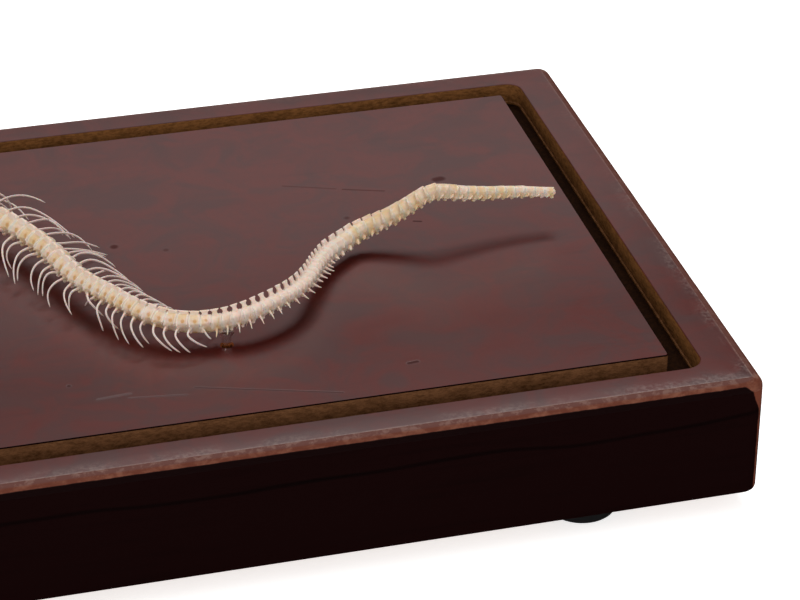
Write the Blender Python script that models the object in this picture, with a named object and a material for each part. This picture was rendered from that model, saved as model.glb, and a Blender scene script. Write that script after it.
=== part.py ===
# A small snake's articulated skeleton, head to tail, held by clear pegs over a wooden display board
# with a routed groove and four rubber feet. Metres, +Z up. The board's centre is the origin in plan,
# its long side lies along X, and the undersides of the feet are at Z = 0. The head is at -X.

import math

import bmesh
import bpy
import numpy as np
from mathutils import Vector

MM = 0.001
GAP = 0.3 * MM

# Board, measured from its outer faces.
BOARD_LENGTH = 362 * MM
BOARD_DEPTH = 143.8 * MM
BOARD_THICKNESS = 25 * MM
BOARD_CORNER = 3 * MM
TOP_ROUND = 2.1 * MM
BOTTOM_BEVEL = 1 * MM
LONG_RIM = 7.9 * MM
END_RIM = 9.4 * MM
GROOVE_WIDTH = 5.4 * MM
GROOVE_DEPTH = 4.9 * MM
GROOVE_CORNER = 3.5 * MM
PLATEAU_CORNER = 0.5 * MM
CORNER_STEPS = 3
ROUND_STEPS = 2

# Feet.
FOOT_RADIUS = 6 * MM
FOOT_HEIGHT = 4.6 * MM
FOOT_TAPER = 0.6 * MM
FOOT_INSET_X = 32 * MM
FOOT_INSET_Y = 11 * MM
FOOT_SIDES = 12

# Pegs in their drilled holes.
PEG_RADIUS = 0.9 * MM
PEG_CUP_RADIUS = 1.5 * MM
PEG_CUP_HEIGHT = 1.2 * MM
PEG_SIDES = 8
HOLE_RADIUS = PEG_RADIUS + GAP
HOLE_DEPTH = 7 * MM

# The middle of the backbone in mm: x and y from the board's centre, height over the board's top
# face, and roll in degrees (the left side of the animal lower). From ahead of the head to the tail.
ROUTE = (
    (-164.0, -13.0, 14.5, 0),
    (-143.0, -9.5, 14.5, 0),
    (-127.5, -2.5, 12.5, 0),
    (-116.5, 11.0, 10.0, 0),
    (-106.0, 26.0, 8.9, 0),
    (-91.0, 33.5, 8.6, 0),
    (-76.0, 27.5, 8.6, 0),
    (-64.5, 12.0, 8.6, 0),
    (-56.0, -7.0, 8.6, 0),
    (-46.0, -25.0, 8.6, 0),
    (-31.0, -32.5, 8.6, 0),
    (-16.0, -23.0, 8.5, 0),
    (-6.0, -4.0, 8.4, 0),
    (2.0, 16.0, 8.2, 0),
    (12.0, 33.5, 8.0, -1),
    (26.0, 37.5, 7.8, -3),
    (38.6, 28.6, 7.7, -4),
    (48.6, 14.1, 7.6, -4),
    (56.4, -0.5, 7.4, -4),
    (61.0, -12.3, 6.9, -4),
    (66.6, -21.4, 6.9, -4),
    (71.6, -27.9, 6.3, -5),
    (77.0, -31.6, 5.6, -9),
    (82.8, -33.0, 5.3, -18),
    (89.0, -33.3, 6.0, -25),
    (94.1, -32.0, 6.7, -28),
    (101.2, -27.6, 6.9, -28),
    (105.8, -20.3, 6.2, -28),
    (110.7, -11.8, 4.8, -28),
    (114.8, -7.7, 4.4, -28),
    (118.6, -5.1, 4.8, -28),
    (125.3, -5.0, 7.3, -28),
    (131.5, -5.4, 11.0, -27),
    (134.8, -5.5, 12.2, -26),
    (140.6, -5.0, 10.8, -25),
    (152.7, -4.0, 8.8, -22),
    (159.8, -4.5, 7.9, -20),
)

# Backbone: how many vertebrae, and their length along the back.
NECK_COUNT = 12
TRUNK_COUNT = 108
TAIL_COUNT = 43
TAIL_TIP_COUNT = 13
TRUNK_LENGTHS = 6
TAIL_LENGTHS = 3
PITCH_FRONT = 2.1 * MM
PITCH_MIDDLE = 3.32 * MM
PITCH_TAIL = 2.11 * MM
PITCH_TAIL_TIP = 2.2 * MM
PITCH_RISE = (-0.05, 0.42)
PITCH_FALL = (8, 25)
RIBLESS_COUNT = 2

CURVE_SAMPLES = 4000
FRAME_REACH = 0.8 * MM
SMOOTH_ANGLE = math.radians(40)


def lerp(a, b, t):
    return a + (b - a) * t


def ease(low, high, value):
    """0 below low, 1 above high, smooth between."""
    t = min(max((value - low) / (high - low), 0.0), 1.0)
    return t * t * (3 - 2 * t)


def material(name, colour, roughness, alpha=1.0):
    made = bpy.data.materials.new(name)
    made.use_nodes = True
    shader = made.node_tree.nodes["Principled BSDF"]
    shader.inputs["Base Color"].default_value = (*colour, 1)
    shader.inputs["Roughness"].default_value = roughness
    shader.inputs["Metallic"].default_value = 0
    shader.inputs["Transmission Weight"].default_value = 1 - alpha
    made.diffuse_color = (*colour, 1)
    return made


class Solid:
    """A closed mesh put together from rings of points."""

    def __init__(self):
        self.points = []
        self.faces = []

    def ring(self, points):
        first = len(self.points)
        self.points.extend(tuple(p) for p in points)
        return list(range(first, len(self.points)))

    def bridge(self, a, b, skip=()):
        for k in range(len(a)):
            if k not in skip:
                n = (k + 1) % len(a)
                self.faces.append((a[k], a[n], b[n], b[k]))

    def cone(self, ring, tip):
        apex = self.ring([tip])[0]
        for k in range(len(ring)):
            self.faces.append((ring[k], ring[(k + 1) % len(ring)], apex))

    def made(self, name, colour, roughness, alpha=1.0, smooth=False):
        mesh = bpy.data.meshes.new(name)
        mesh.from_pydata(self.points, [], self.faces)
        builder = bmesh.new()
        builder.from_mesh(mesh)
        bmesh.ops.recalc_face_normals(builder, faces=builder.faces)
        builder.to_mesh(mesh)
        builder.free()
        if smooth:
            mesh.shade_smooth()
            mesh.set_sharp_from_angle(angle=SMOOTH_ANGLE)
        mesh.materials.append(material(name, colour, roughness, alpha))
        thing = bpy.data.objects.new(name, mesh)
        bpy.context.scene.collection.objects.link(thing)
        return thing


def helper(thing):
    thing.hide_render = True
    thing.display_type = "WIRE"


def boolean(thing, other, operation):
    step = thing.modifiers.new(other.name, "BOOLEAN")
    step.object = other
    step.operation = operation
    step.solver = "EXACT"
    helper(other)


class Backbone:
    """A smooth curve through ROUTE, read by its length from the tip of the tail."""

    def __init__(self):
        knots = np.array(ROUTE)
        knots[:, :3] *= MM
        knots[:, 2] += FOOT_HEIGHT + BOARD_THICKNESS
        chords = np.linalg.norm(np.diff(knots[:, :3], axis=0), axis=1)
        places = np.concatenate([[0], np.cumsum(np.sqrt(chords))])
        fine = np.linspace(0, places[-1], CURVE_SAMPLES)
        curve = self.natural_spline(places, knots, fine)
        steps = np.linalg.norm(np.diff(curve[:, :3], axis=0), axis=1)
        self.along = np.concatenate([[0], np.cumsum(steps)])
        self.length = self.along[-1]
        self.curve = curve

    @staticmethod
    def natural_spline(x, y, at):
        n = len(x)
        h = np.diff(x)
        system = np.eye(n)
        right = np.zeros_like(y)
        for i in range(1, n - 1):
            system[i, i - 1 : i + 2] = h[i - 1], 2 * (h[i - 1] + h[i]), h[i]
            right[i] = 6 * ((y[i + 1] - y[i]) / h[i] - (y[i] - y[i - 1]) / h[i - 1])
        bend = np.linalg.solve(system, right)
        k = np.clip(np.searchsorted(x, at) - 1, 0, n - 2)
        a = ((x[k + 1] - at) / h[k])[:, None]
        b = 1 - a
        curved = ((a**3 - a) * bend[k] + (b**3 - b) * bend[k + 1]) * (h[k] ** 2)[:, None] / 6
        return a * y[k] + b * y[k + 1] + curved

    def at(self, from_tip):
        s = self.length - from_tip
        return np.array([np.interp(s, self.along, self.curve[:, k]) for k in range(4)])

    def frame(self, from_tip):
        """Middle, way to the tail, left and up at this length from the tip of the tail."""
        here = self.at(from_tip)
        ahead = self.at(from_tip + FRAME_REACH)[:3]
        behind = self.at(from_tip - FRAME_REACH)[:3]
        back = Vector(behind - ahead).normalized()
        left = back.cross(Vector((0, 0, 1))).normalized()
        up = left.cross(back)
        roll = math.radians(here[3])
        turned = left * math.cos(roll) - up * math.sin(roll)
        return Vector(here[:3]), back, turned, turned.cross(back)


def pitches():
    """The length of every vertebra, from the first of the neck to the last of the tail. PITCH_FALL is
    counted in vertebrae ahead of the tail."""
    body = NECK_COUNT + TRUNK_COUNT
    found = []
    for i in range(body):
        t = i / (body - 1)
        front = lerp(PITCH_FRONT, PITCH_MIDDLE, ease(*PITCH_RISE, t))
        found.append(lerp(PITCH_TAIL, front, ease(*PITCH_FALL, body - 1 - i)))
    tip = [PITCH_TAIL_TIP] * TAIL_TIP_COUNT
    return found + [PITCH_TAIL] * (TAIL_COUNT - TAIL_TIP_COUNT) + tip


# One ring at the joint of two vertebrae and one at the middle of each, in half-widths of the
# vertebra: (sideways, up) of the top, the side process, the lower flank and the underside.
JOINT_RING = ((0, 0.60), (1.0, 0.15), (0.55, -0.50), (0, -0.62))
MIDDLE_RING = ((0, 1.0), (0.58, 0.20), (0.46, -0.45), (0, -0.74))

# Half-widths of the vertebrae along the back.
NECK_WIDTH = 1.3 * MM
TRUNK_WIDTH = 2.5 * MM
CLOACA_WIDTH = 2.1 * MM
TAIL_NARROWING = 0.3 * MM
TAIL_TIP_NARROWING = 0.75 * MM

# The tail's vertebrae, in half-widths: spine tops at the cloaca, behind it and near the tip, the
# side processes at the cloaca and near the tip, and how much deeper, there and near the tip, and
# narrower they are than the trunk's.
CLOACA_SPINE = 1.1
TAIL_SPINE = 1.4
TAIL_SPINE_END = 1.0
TAIL_PROCESS = 1.5
TAIL_PROCESS_END = 1.1
PROCESS_SPREAD = 0.9
PROCESS_AHEAD = 0.3
TAIL_DEPTH = 1.25
TAIL_TIP_DEPTH = 1.7
TAIL_WIDTH = 0.82

BONE = ((0.80, 0.69, 0.52), 0.55)
WOOD = ((0.13, 0.045, 0.035), 0.4)
RUBBER = ((0.02, 0.02, 0.02), 0.7)
CLEAR = ((0.85, 0.87, 0.86), 0.08, 0.1)
RIB_RADIUS = 0.36 * MM
RIB_STOPS = (0.2, 0.62)
RIB_SWEEP = 2.3 * MM
RIB_CLEARANCE = 0.9 * MM
RIB_ROOT = 0.25
RIB_DEPTH = 0.95
NECK_REACH = 3.2 * MM
TRUNK_REACH = 8.6 * MM
REAR_REACH_LOSS = 0.5 * MM
CLOACA_REACH_LOSS = 3.8 * MM
RIB_CORNERS = tuple(math.radians(a) for a in (130, 250, 10))


class Column:
    """Sizes of the backbone's vertebrae, counted from the first of the neck."""

    def __init__(self):
        self.route = Backbone()
        lengths = pitches()
        ends = sum(lengths) - np.concatenate([[0], np.cumsum(lengths)])
        self.front = ends[:-1]
        self.rear = ends[1:]
        self.body = NECK_COUNT + TRUNK_COUNT
        self.count = len(lengths)

    def half_width(self, i):
        if i >= self.body:
            along = (i - self.body) / TAIL_COUNT
            return CLOACA_WIDTH - TAIL_NARROWING * along - TAIL_TIP_NARROWING * ease(0.5, 1.0, along)
        t = i / self.body
        wide = lerp(NECK_WIDTH, TRUNK_WIDTH, ease(-0.1, 0.45, t))
        return wide - (TRUNK_WIDTH - CLOACA_WIDTH) * ease(0.78, 1.0, t)

    def rib_reach(self, i):
        t = i / self.body
        if i < RIBLESS_COUNT:
            return 0.0
        reach = lerp(NECK_REACH, TRUNK_REACH, ease(0.0, 0.3, t))
        return reach - REAR_REACH_LOSS * ease(0.6, 0.9, t) - CLOACA_REACH_LOSS * ease(0.82, 0.99, t)

    def spine_height(self, i):
        """Top of the spine over the middle, in half-widths."""
        if i < self.body:
            return MIDDLE_RING[0][1]
        along = (i - self.body) / TAIL_COUNT
        rising = lerp(CLOACA_SPINE, TAIL_SPINE, ease(0, 0.14, along))
        return lerp(rising, TAIL_SPINE_END, ease(0.36, 0.6, along))

    def side_process(self, i):
        """How far a tail vertebra's lower process stands out, in half-widths."""
        along = (i - self.body) / TAIL_COUNT
        return lerp(TAIL_PROCESS, TAIL_PROCESS_END, ease(0.3, 0.62, along))

    def depth(self, i):
        """How far its underside lies below its middle, against that of a trunk vertebra."""
        if i < self.body:
            return 1.0
        return lerp(TAIL_DEPTH, TAIL_TIP_DEPTH, ease(0.3, 0.7, (i - self.body) / TAIL_COUNT))

    def rings(self, i):
        """(distance from the tip, template, half-width, spine height, depth below) of its two rings."""
        before = self.half_width(max(i - 1, 0))
        here = self.half_width(i)
        middle = (self.front[i] + self.rear[i]) / 2
        depth = self.depth(i)
        yield self.front[i], JOINT_RING, (before + here) / 2, None, depth
        yield middle, MIDDLE_RING, here, self.spine_height(i), depth

    def under(self, from_tip):
        """The point just below the backbone at this length from the tip."""
        middle, _, _, up = self.route.frame(from_tip)
        i = max(0, int(np.searchsorted(-self.front, -from_tip)) - 1)
        return middle + up * MIDDLE_RING[3][1] * self.depth(i) * self.half_width(i) - Vector((0, 0, GAP))

    def last_ring(self, i):
        return self.rear[i], JOINT_RING, self.half_width(i), None, self.depth(i)


def ring_points(route, place, sides, inner=0.0):
    """The points of one ring: a whole ring when sides is both, else that side's half."""
    from_tip, template, width, spine, depth = place
    middle, back, left, up = route.frame(from_tip)
    heights = [h * depth if h < 0 else h for _, h in template]
    heights[0] = spine or heights[0]
    across = [w * TAIL_WIDTH if depth > 1 else w for w, _ in template]
    if sides == "both":
        order = [(k, 1) for k in range(4)] + [(2, -1), (1, -1)]
    else:
        order = [(k, 1 if sides == "left" else -1) for k in range(4)]
    made = []
    for k, side in order:
        out = side * max(across[k] * width, inner)
        made.append(middle + left * out + up * heights[k] * width)
    return made


def rib_curve(frame, side, reach, drop, width):
    """A point of the rib at t from its root to its tip."""
    middle, back, left, up = frame
    out = left * side
    points = (
        out * 0.8 * width - up * 0.3 * width,
        out * 0.76 * reach + up * 0.02 * reach,
        out * 1.22 * reach - up * 0.45 * drop + back * 0.35 * RIB_SWEEP,
        out * 0.97 * reach - up * drop + back * RIB_SWEEP,
    )

    def at(t):
        weights = ((1 - t) ** 3, 3 * t * (1 - t) ** 2, 3 * t * t * (1 - t), t**3)
        return middle + sum((p * w for p, w in zip(points, weights)), Vector())

    return at


def grow_rib(solid, base, frame, side, reach, drop, width):
    back = frame[1]
    at = rib_curve(frame, side, reach, drop, width)
    ring = base
    for t in RIB_STOPS:
        along = (at(t + 0.02) - at(t - 0.02)).normalized()
        front = (back - along * back.dot(along)).normalized()
        out = along.cross(front) * side
        corners = [
            at(t) + (front * math.cos(a) + out * math.sin(a)) * RIB_RADIUS for a in RIB_CORNERS
        ]
        following = solid.ring(corners)
        solid.bridge(ring, following)
        ring = following
    solid.cone(ring, at(1))


def rib_drop(column, i, frame, reach):
    """How far the rib reaches down: to just over the board, or less where the neck is raised."""
    middle, _, left, up = frame
    lean = abs(left.z) * reach
    clear = middle.z - FOOT_HEIGHT - BOARD_THICKNESS - RIB_CLEARANCE - lean
    return min(clear / up.z, RIB_DEPTH * reach)


def backbone_length(column, name, first, last, sides):
    """One solid of the vertebrae first to last - 1, whole or one side, with what grows from them."""
    solid = Solid()
    route = column.route
    inner = GAP / 2 if sides != "both" else 0.0
    flanks = {"both": ((1, 2, 1), (5, 4, -1)), "left": ((1, 2, 1),), "right": ((1, 2, -1),)}[sides]
    ring = None
    opening = None
    for i in range(first, last):
        for k, place in enumerate(column.rings(i)):
            if ring is None:
                place = (place[0] - GAP / 2, *place[1:])
            following = solid.ring(ring_points(route, place, sides, inner))
            if ring is None:
                opening = following
            elif k == 0:
                solid.bridge(ring, following)
            else:
                skipped = {min(b, c) for b, c, _ in flanks}
                solid.bridge(ring, following, skipped)
                frame = route.frame(lerp(column.front[i], column.rear[i], RIB_ROOT))
                for b, c, side in flanks:
                    solid.faces.append((ring[b], following[c], following[b]))
                    base = [ring[b], ring[c], following[c]]
                    grow_from(solid, column, i, base, frame, side)
            ring = following
    end = column.last_ring(last - 1)
    following = solid.ring(ring_points(route, (end[0] + GAP / 2, *end[1:]), sides, inner))
    solid.bridge(ring, following)
    solid.faces.append(tuple(opening))
    solid.faces.append(tuple(reversed(following)))
    return solid.made(name, *BONE)


def grow_from(solid, column, i, base, frame, side):
    width = column.half_width(i)
    middle, back, left, up = frame
    if i >= column.body:
        out = column.side_process(i) * width
        tip = middle + (left * side - up) * out * PROCESS_SPREAD - back * PROCESS_AHEAD * width
        solid.cone(base, tip)
    elif column.rib_reach(i) == 0:
        solid.faces.append(tuple(base))
    else:
        reach = column.rib_reach(i)
        grow_rib(solid, base, frame, side, reach, rib_drop(column, i, frame, reach), width)


# Places in the skull are (forward of the neck joint, sideways, up).
CASE_STATIONS = (
    (0.0, 0.9, 0.9, -0.9),
    (0.9, 2.3, 1.5, -1.3),
    (3.0, 2.9, 1.9, -1.5),
    (5.6, 2.6, 2.1, -1.5),
    (8.4, 2.5, 2.1, -1.4),
    (10.6, 2.2, 2.0, -1.2),
    (12.2, 1.6, 1.8, -1.1),
    (14.6, 1.7, 1.7, -1.1),
    (16.4, 1.9, 1.4, -1.2),
    (18.6, 1.6, 0.8, -1.3),
    (20.2, 1.0, 0.0, -1.4),
)
CASE_SIDES = 8
CASE_FILL = 1.05
JAW_JOINT = (-3.0, 4.9, -3.3)
TOOTH = 1.0
TOOTH_LEAN = 0.35
BAR_CORNERS = tuple(math.radians(a) for a in (45, 135, 225, 315))


class Skull:
    """Turns places in the skull into places of the model."""

    def __init__(self, column):
        middle, back, left, up = column.route.frame(column.front[0] + GAP)
        self.middle = middle
        self.forward = -back
        self.left = left
        self.up = up

    def place(self, point):
        f, l, u = (c * MM for c in point)
        return self.middle + self.forward * f + self.left * l + self.up * u


def rounded_bar(skull, stops, teeth=0.0, rows=()):
    """A four-cornered bar through stops of (place, half-width, half-height), with teeth below it
    on the lengths that rows names, or above it where teeth is negative."""
    solid = Solid()
    ring = None
    edge = 2 if teeth > 0 else 0
    for k, (at, width, height) in enumerate(stops):
        ahead = Vector(stops[min(k + 1, len(stops) - 1)][0])
        behind = Vector(stops[max(k - 1, 0)][0])
        along = (ahead - behind).normalized()
        side = along.cross(Vector((0, 0, 1))).normalized()
        top = side.cross(along)
        corners = [
            Vector(at) + (side * math.cos(a) * width + top * math.sin(a) * height) * math.sqrt(2)
            for a in BAR_CORNERS
        ]
        following = solid.ring([skull.place(c) for c in corners])
        if ring is None:
            solid.faces.append(tuple(following))
        elif k in rows:
            solid.bridge(ring, following, (edge,))
            base = [ring[edge], ring[edge + 1], following[edge + 1], following[edge]]
            place = (Vector(at) + behind) / 2 - Vector((TOOTH_LEAN, 0, 0))
            place.z -= math.copysign(height, teeth) + teeth
            solid.cone(base, skull.place(place))
        else:
            solid.bridge(ring, following)
        ring = following
    solid.faces.append(tuple(reversed(ring)))
    return solid


def case_solid(skull):
    """The braincase, the narrow bridge between the eyes and the snout."""
    solid = Solid()
    ring = None
    for forward, half, top, bottom in CASE_STATIONS:
        points = []
        for k in range(CASE_SIDES):
            a = math.tau * (k + 0.5) / CASE_SIDES
            height = (top if math.sin(a) > 0 else -bottom) * math.sin(a)
            points.append((forward, half * math.cos(a) * CASE_FILL, height * CASE_FILL))
        following = solid.ring([skull.place(p) for p in points])
        if ring is None:
            solid.faces.append(tuple(following))
        else:
            solid.bridge(ring, following)
        ring = following
    solid.faces.append(tuple(reversed(ring)))
    return solid


def skull_bars(side):
    """Names and stops of the bars on one side of the skull, with the rows that bear teeth."""
    s = side
    upper_jaw = (
        ((19.6, s * 1.0, -1.5), 0.45, 0.45),
        ((18.4, s * 1.7, -1.8), 0.4, 0.45),
        ((17.0, s * 2.4, -1.9), 0.4, 0.5),
        ((15.6, s * 2.9, -2.0), 0.4, 0.5),
        ((14.2, s * 3.3, -2.05), 0.4, 0.45),
        ((12.8, s * 3.6, -2.1), 0.4, 0.45),
        ((11.4, s * 3.75, -2.15), 0.4, 0.4),
        ((10.2, s * 3.7, -2.2), 0.5, 0.35),
        ((8.2, s * 3.1, -2.2), 0.4, 0.3),
        ((6.6, s * 2.75, -2.2), 0.3, 0.3),
    )
    palate = (
        ((17.4, s * 1.0, -1.35), 0.35, 0.35),
        ((14.6, s * 1.2, -1.8), 0.3, 0.3),
        ((11.8, s * 1.6, -2.0), 0.35, 0.3),
        ((8.8, s * 2.1, -2.2), 0.5, 0.3),
        ((5.4, s * 2.9, -2.4), 0.55, 0.3),
        ((1.6, s * 3.7, -2.8), 0.5, 0.3),
        ((-1.4, s * 4.1, -3.0), 0.3, 0.3),
    )
    quadrate = (
        ((4.4, s * 2.5, 1.5), 0.45, 0.3),
        ((1.4, s * 3.1, 1.5), 0.5, 0.35),
        ((-0.6, s * 3.7, 1.1), 0.5, 0.5),
        ((-1.8, s * 4.3, -0.9), 0.35, 0.35),
        ((JAW_JOINT[0], s * JAW_JOINT[1], JAW_JOINT[2]), 0.45, 0.45),
    )
    front_of_eye = (
        ((16.0, s * 1.4, 1.2), 0.45, 0.3),
        ((15.9, s * 2.4, 0.3), 0.4, 0.35),
        ((15.8, s * 2.8, -1.9), 0.35, 0.35),
    )
    rear_of_eye = (
        ((11.2, s * 1.6, 1.6), 0.4, 0.3),
        ((10.9, s * 2.9, 0.9), 0.3, 0.3),
        ((10.5, s * 3.4, -0.9), 0.28, 0.28),
    )
    toothed = (2, 3, 4, 5, 6, 7)
    return (
        ("upper_jaw", upper_jaw, toothed),
        ("palate", palate, ()),
        ("quadrate", quadrate, ()),
        ("front_of_eye", front_of_eye, ()),
        ("rear_of_eye", rear_of_eye, ()),
    )


def make_skull(skull):
    whole = case_solid(skull).made("skull", *BONE, smooth=True)
    for side, word in ((1, "left"), (-1, "right")):
        for name, stops, rows in skull_bars(side):
            bar = rounded_bar(skull, stops, TOOTH, rows)
            boolean(whole, bar.made(f"{name}_{word}", *BONE), "UNION")


def make_mandible(skull, side, name):
    s = side
    stops = (
        ((-4.3, s * 4.9, -4.5), 0.35, 0.3),
        ((-3.0, s * 4.9, -4.35), 0.45, 0.4),
        ((-0.4, s * 4.7, -4.3), 0.4, 0.6),
        ((3.0, s * 4.3, -4.3), 0.35, 0.85),
        ((6.4, s * 3.9, -4.5), 0.35, 0.75),
        ((9.6, s * 3.6, -4.7), 0.35, 0.6),
        ((11.2, s * 3.4, -4.8), 0.35, 0.55),
        ((12.8, s * 3.1, -4.85), 0.35, 0.5),
        ((14.4, s * 2.7, -4.9), 0.35, 0.45),
        ((16.0, s * 2.2, -4.9), 0.35, 0.4),
        ((17.6, s * 1.6, -4.85), 0.35, 0.4),
        ((19.0, s * 0.9, -4.8), 0.3, 0.35),
    )
    rounded_bar(skull, stops, -TOOTH, (6, 7, 8, 9, 10, 11)).made(name, *BONE)


def rounded_rectangle(length, depth, radius, z):
    points = []
    for quarter in range(4):
        sx = 1 if quarter in (0, 3) else -1
        sy = 1 if quarter < 2 else -1
        for step in range(CORNER_STEPS + 1):
            a = math.pi / 2 * (quarter + step / CORNER_STEPS)
            x = sx * (length / 2 - radius) + radius * math.cos(a)
            y = sy * (depth / 2 - radius) + radius * math.sin(a)
            points.append((x, y, z))
    return points


def make_board(peg_places):
    bottom = FOOT_HEIGHT
    top = FOOT_HEIGHT + BOARD_THICKNESS
    floor = top - GROOVE_DEPTH

    def loop(inset_x, inset_y, radius, z):
        size = (BOARD_LENGTH - 2 * inset_x, BOARD_DEPTH - 2 * inset_y)
        return solid.ring(rounded_rectangle(*size, radius, z))

    solid = Solid()
    inner_x = END_RIM + GROOVE_WIDTH
    inner_y = LONG_RIM + GROOVE_WIDTH
    loops = [
        loop(BOTTOM_BEVEL, BOTTOM_BEVEL, BOARD_CORNER - BOTTOM_BEVEL, bottom),
        loop(0, 0, BOARD_CORNER, bottom + BOTTOM_BEVEL),
    ]
    for step in range(ROUND_STEPS + 1):
        a = math.pi / 2 * step / ROUND_STEPS
        inset = TOP_ROUND * (1 - math.cos(a))
        loops.append(loop(inset, inset, BOARD_CORNER - inset, top - TOP_ROUND * (1 - math.sin(a))))
    loops += [
        loop(END_RIM, LONG_RIM, GROOVE_CORNER, top),
        loop(END_RIM, LONG_RIM, GROOVE_CORNER, floor),
        loop(inner_x, inner_y, PLATEAU_CORNER, floor),
        loop(inner_x, inner_y, PLATEAU_CORNER, top),
    ]
    for a, b in zip(loops, loops[1:]):
        solid.bridge(a, b)
    solid.faces.append(tuple(loops[0]))
    solid.faces.append(tuple(reversed(loops[-1])))
    board = solid.made("board", *WOOD)
    for k, (x, y) in enumerate(peg_places):
        profile = ((HOLE_RADIUS, top - HOLE_DEPTH), (HOLE_RADIUS, top + HOLE_RADIUS))
        hole = turned(x, y, profile, PEG_SIDES)
        boolean(board, hole.made(f"hole_{k + 1}", *BONE), "DIFFERENCE")


def turned(x, y, profile, sides):
    """A round solid on an upright axis, from (radius, height) pairs that run upward."""
    solid = Solid()
    ring = None
    for radius, z in profile:
        angles = [math.tau * k / sides for k in range(sides)]
        following = solid.ring([(x + radius * math.cos(a), y + radius * math.sin(a), z) for a in angles])
        if ring is None:
            solid.faces.append(tuple(reversed(following)))
        else:
            solid.bridge(ring, following)
        ring = following
    solid.faces.append(tuple(ring))
    return solid


def make_feet():
    for sx, end in ((-1, "head"), (1, "tail")):
        for sy, edge in ((-1, "front"), (1, "back")):
            x = sx * (BOARD_LENGTH / 2 - FOOT_INSET_X)
            y = sy * (BOARD_DEPTH / 2 - FOOT_INSET_Y)
            profile = (
                (FOOT_RADIUS - FOOT_TAPER, 0),
                (FOOT_RADIUS, FOOT_TAPER),
                (FOOT_RADIUS, FOOT_HEIGHT - GAP),
            )
            foot = turned(x, y, profile, FOOT_SIDES)
            foot.made(f"foot_{end}_{edge}", *RUBBER, smooth=True)


def make_peg(x, y, top, name):
    bottom = FOOT_HEIGHT + BOARD_THICKNESS - HOLE_DEPTH + GAP
    profile = (
        (PEG_RADIUS, bottom),
        (PEG_RADIUS, top - PEG_CUP_HEIGHT),
        (PEG_CUP_RADIUS, top),
    )
    turned(x, y, profile, PEG_SIDES).made(name, *CLEAR)


# Lengths from the tail's tip to each peg under the backbone, and the head's peg ahead of the neck.
BODY_PEGS = {"tail": 89.4 * MM, "rear": 190 * MM, "middle": 290 * MM, "front": 385 * MM}
HEAD_PEG_FORWARD = 4.0
HEAD_PEG_DOWN = -1.9


def main():
    for old in list(bpy.data.objects):
        bpy.data.objects.remove(old, do_unlink=True)
    column = Column()
    skull = Skull(column)
    make_skull(skull)
    make_mandible(skull, 1, "mandible_left")
    make_mandible(skull, -1, "mandible_right")

    backbone_length(column, "neck", 0, NECK_COUNT, "both")
    cuts = [NECK_COUNT + round(TRUNK_COUNT * k / TRUNK_LENGTHS) for k in range(TRUNK_LENGTHS + 1)]
    for k, (first, last) in enumerate(zip(cuts, cuts[1:])):
        for side in ("left", "right"):
            backbone_length(column, f"trunk_{k + 1}_{side}", first, last, side)
    cuts = [column.body + round(TAIL_COUNT * k / TAIL_LENGTHS) for k in range(TAIL_LENGTHS + 1)]
    for k, (first, last) in enumerate(zip(cuts, cuts[1:])):
        backbone_length(column, f"tail_{k + 1}", first, last, "both")

    head = skull.place((HEAD_PEG_FORWARD, 0, HEAD_PEG_DOWN))
    pegs = {"peg_head": head}
    for word, from_tip in BODY_PEGS.items():
        pegs[f"peg_{word}"] = column.under(from_tip)
    make_board([(x, y) for x, y, _ in pegs.values()])
    for name, (x, y, top) in pegs.items():
        make_peg(x, y, top, name)
    make_feet()


main()
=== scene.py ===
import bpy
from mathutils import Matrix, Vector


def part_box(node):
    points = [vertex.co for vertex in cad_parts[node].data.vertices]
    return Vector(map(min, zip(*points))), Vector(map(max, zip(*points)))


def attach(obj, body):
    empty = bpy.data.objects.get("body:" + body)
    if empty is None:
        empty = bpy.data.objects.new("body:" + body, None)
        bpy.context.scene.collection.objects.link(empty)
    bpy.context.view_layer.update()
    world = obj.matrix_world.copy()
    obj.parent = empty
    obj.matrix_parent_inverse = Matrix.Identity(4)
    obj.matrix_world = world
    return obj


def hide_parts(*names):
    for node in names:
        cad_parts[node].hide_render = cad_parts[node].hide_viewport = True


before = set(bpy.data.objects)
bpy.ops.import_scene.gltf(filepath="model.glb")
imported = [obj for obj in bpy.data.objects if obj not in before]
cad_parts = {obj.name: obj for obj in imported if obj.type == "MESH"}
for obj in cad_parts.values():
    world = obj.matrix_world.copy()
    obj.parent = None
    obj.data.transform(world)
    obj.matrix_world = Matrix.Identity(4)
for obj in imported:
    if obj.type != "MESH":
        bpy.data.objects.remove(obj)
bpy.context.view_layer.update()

import math
import random
import time

import bmesh
import bpy
import numpy as np
from mathutils import Euler, Matrix, Vector, noise

mm = 0.001
started = time.perf_counter()
scene = bpy.context.scene


def report(stage):
    print(f"{stage} ready after {time.perf_counter() - started:.1f} s")


def lerp(a, b, t):
    return a + (b - a) * t


def ease(low, high, value):  # 0 below low, 1 above high, smooth between
    t = min(max((value - low) / (high - low), 0.0), 1.0)
    return t * t * (3 - 2 * t)


def paint(red, green, blue):  # 0 to 255 as on a screen, to the shader's own scale
    def linear(c):
        c = c / 255
        return c / 12.92 if c <= 0.04045 else ((c + 0.055) / 1.055) ** 2.4

    return linear(red), linear(green), linear(blue), 1.0


# camera, light and floor
studio = {
    "cameraPlace": (33.09, -410.0, 261.76),
    "turn": 13.036,
    "down": 30.501,
    "roll": -0.811,
    "lens": 104.87,
    "lampDirection": (0.15, 0.45, 1.0),
    "lampSpread": 27,
    "lampStrength": 1.45,
    "fillDirection": (-0.35, -0.75, 0.75),
    "fillSpread": 110,
    "fillStrength": 1.4,
    "sky": (1.0, 0.99, 0.98, 1.0),
    "skyStrength": 0.25,
    "floorSize": 8000,
    "floorColour": (0.93, 0.93, 0.93, 1.0),
    "floorGlow": 0.7,
}


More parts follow.
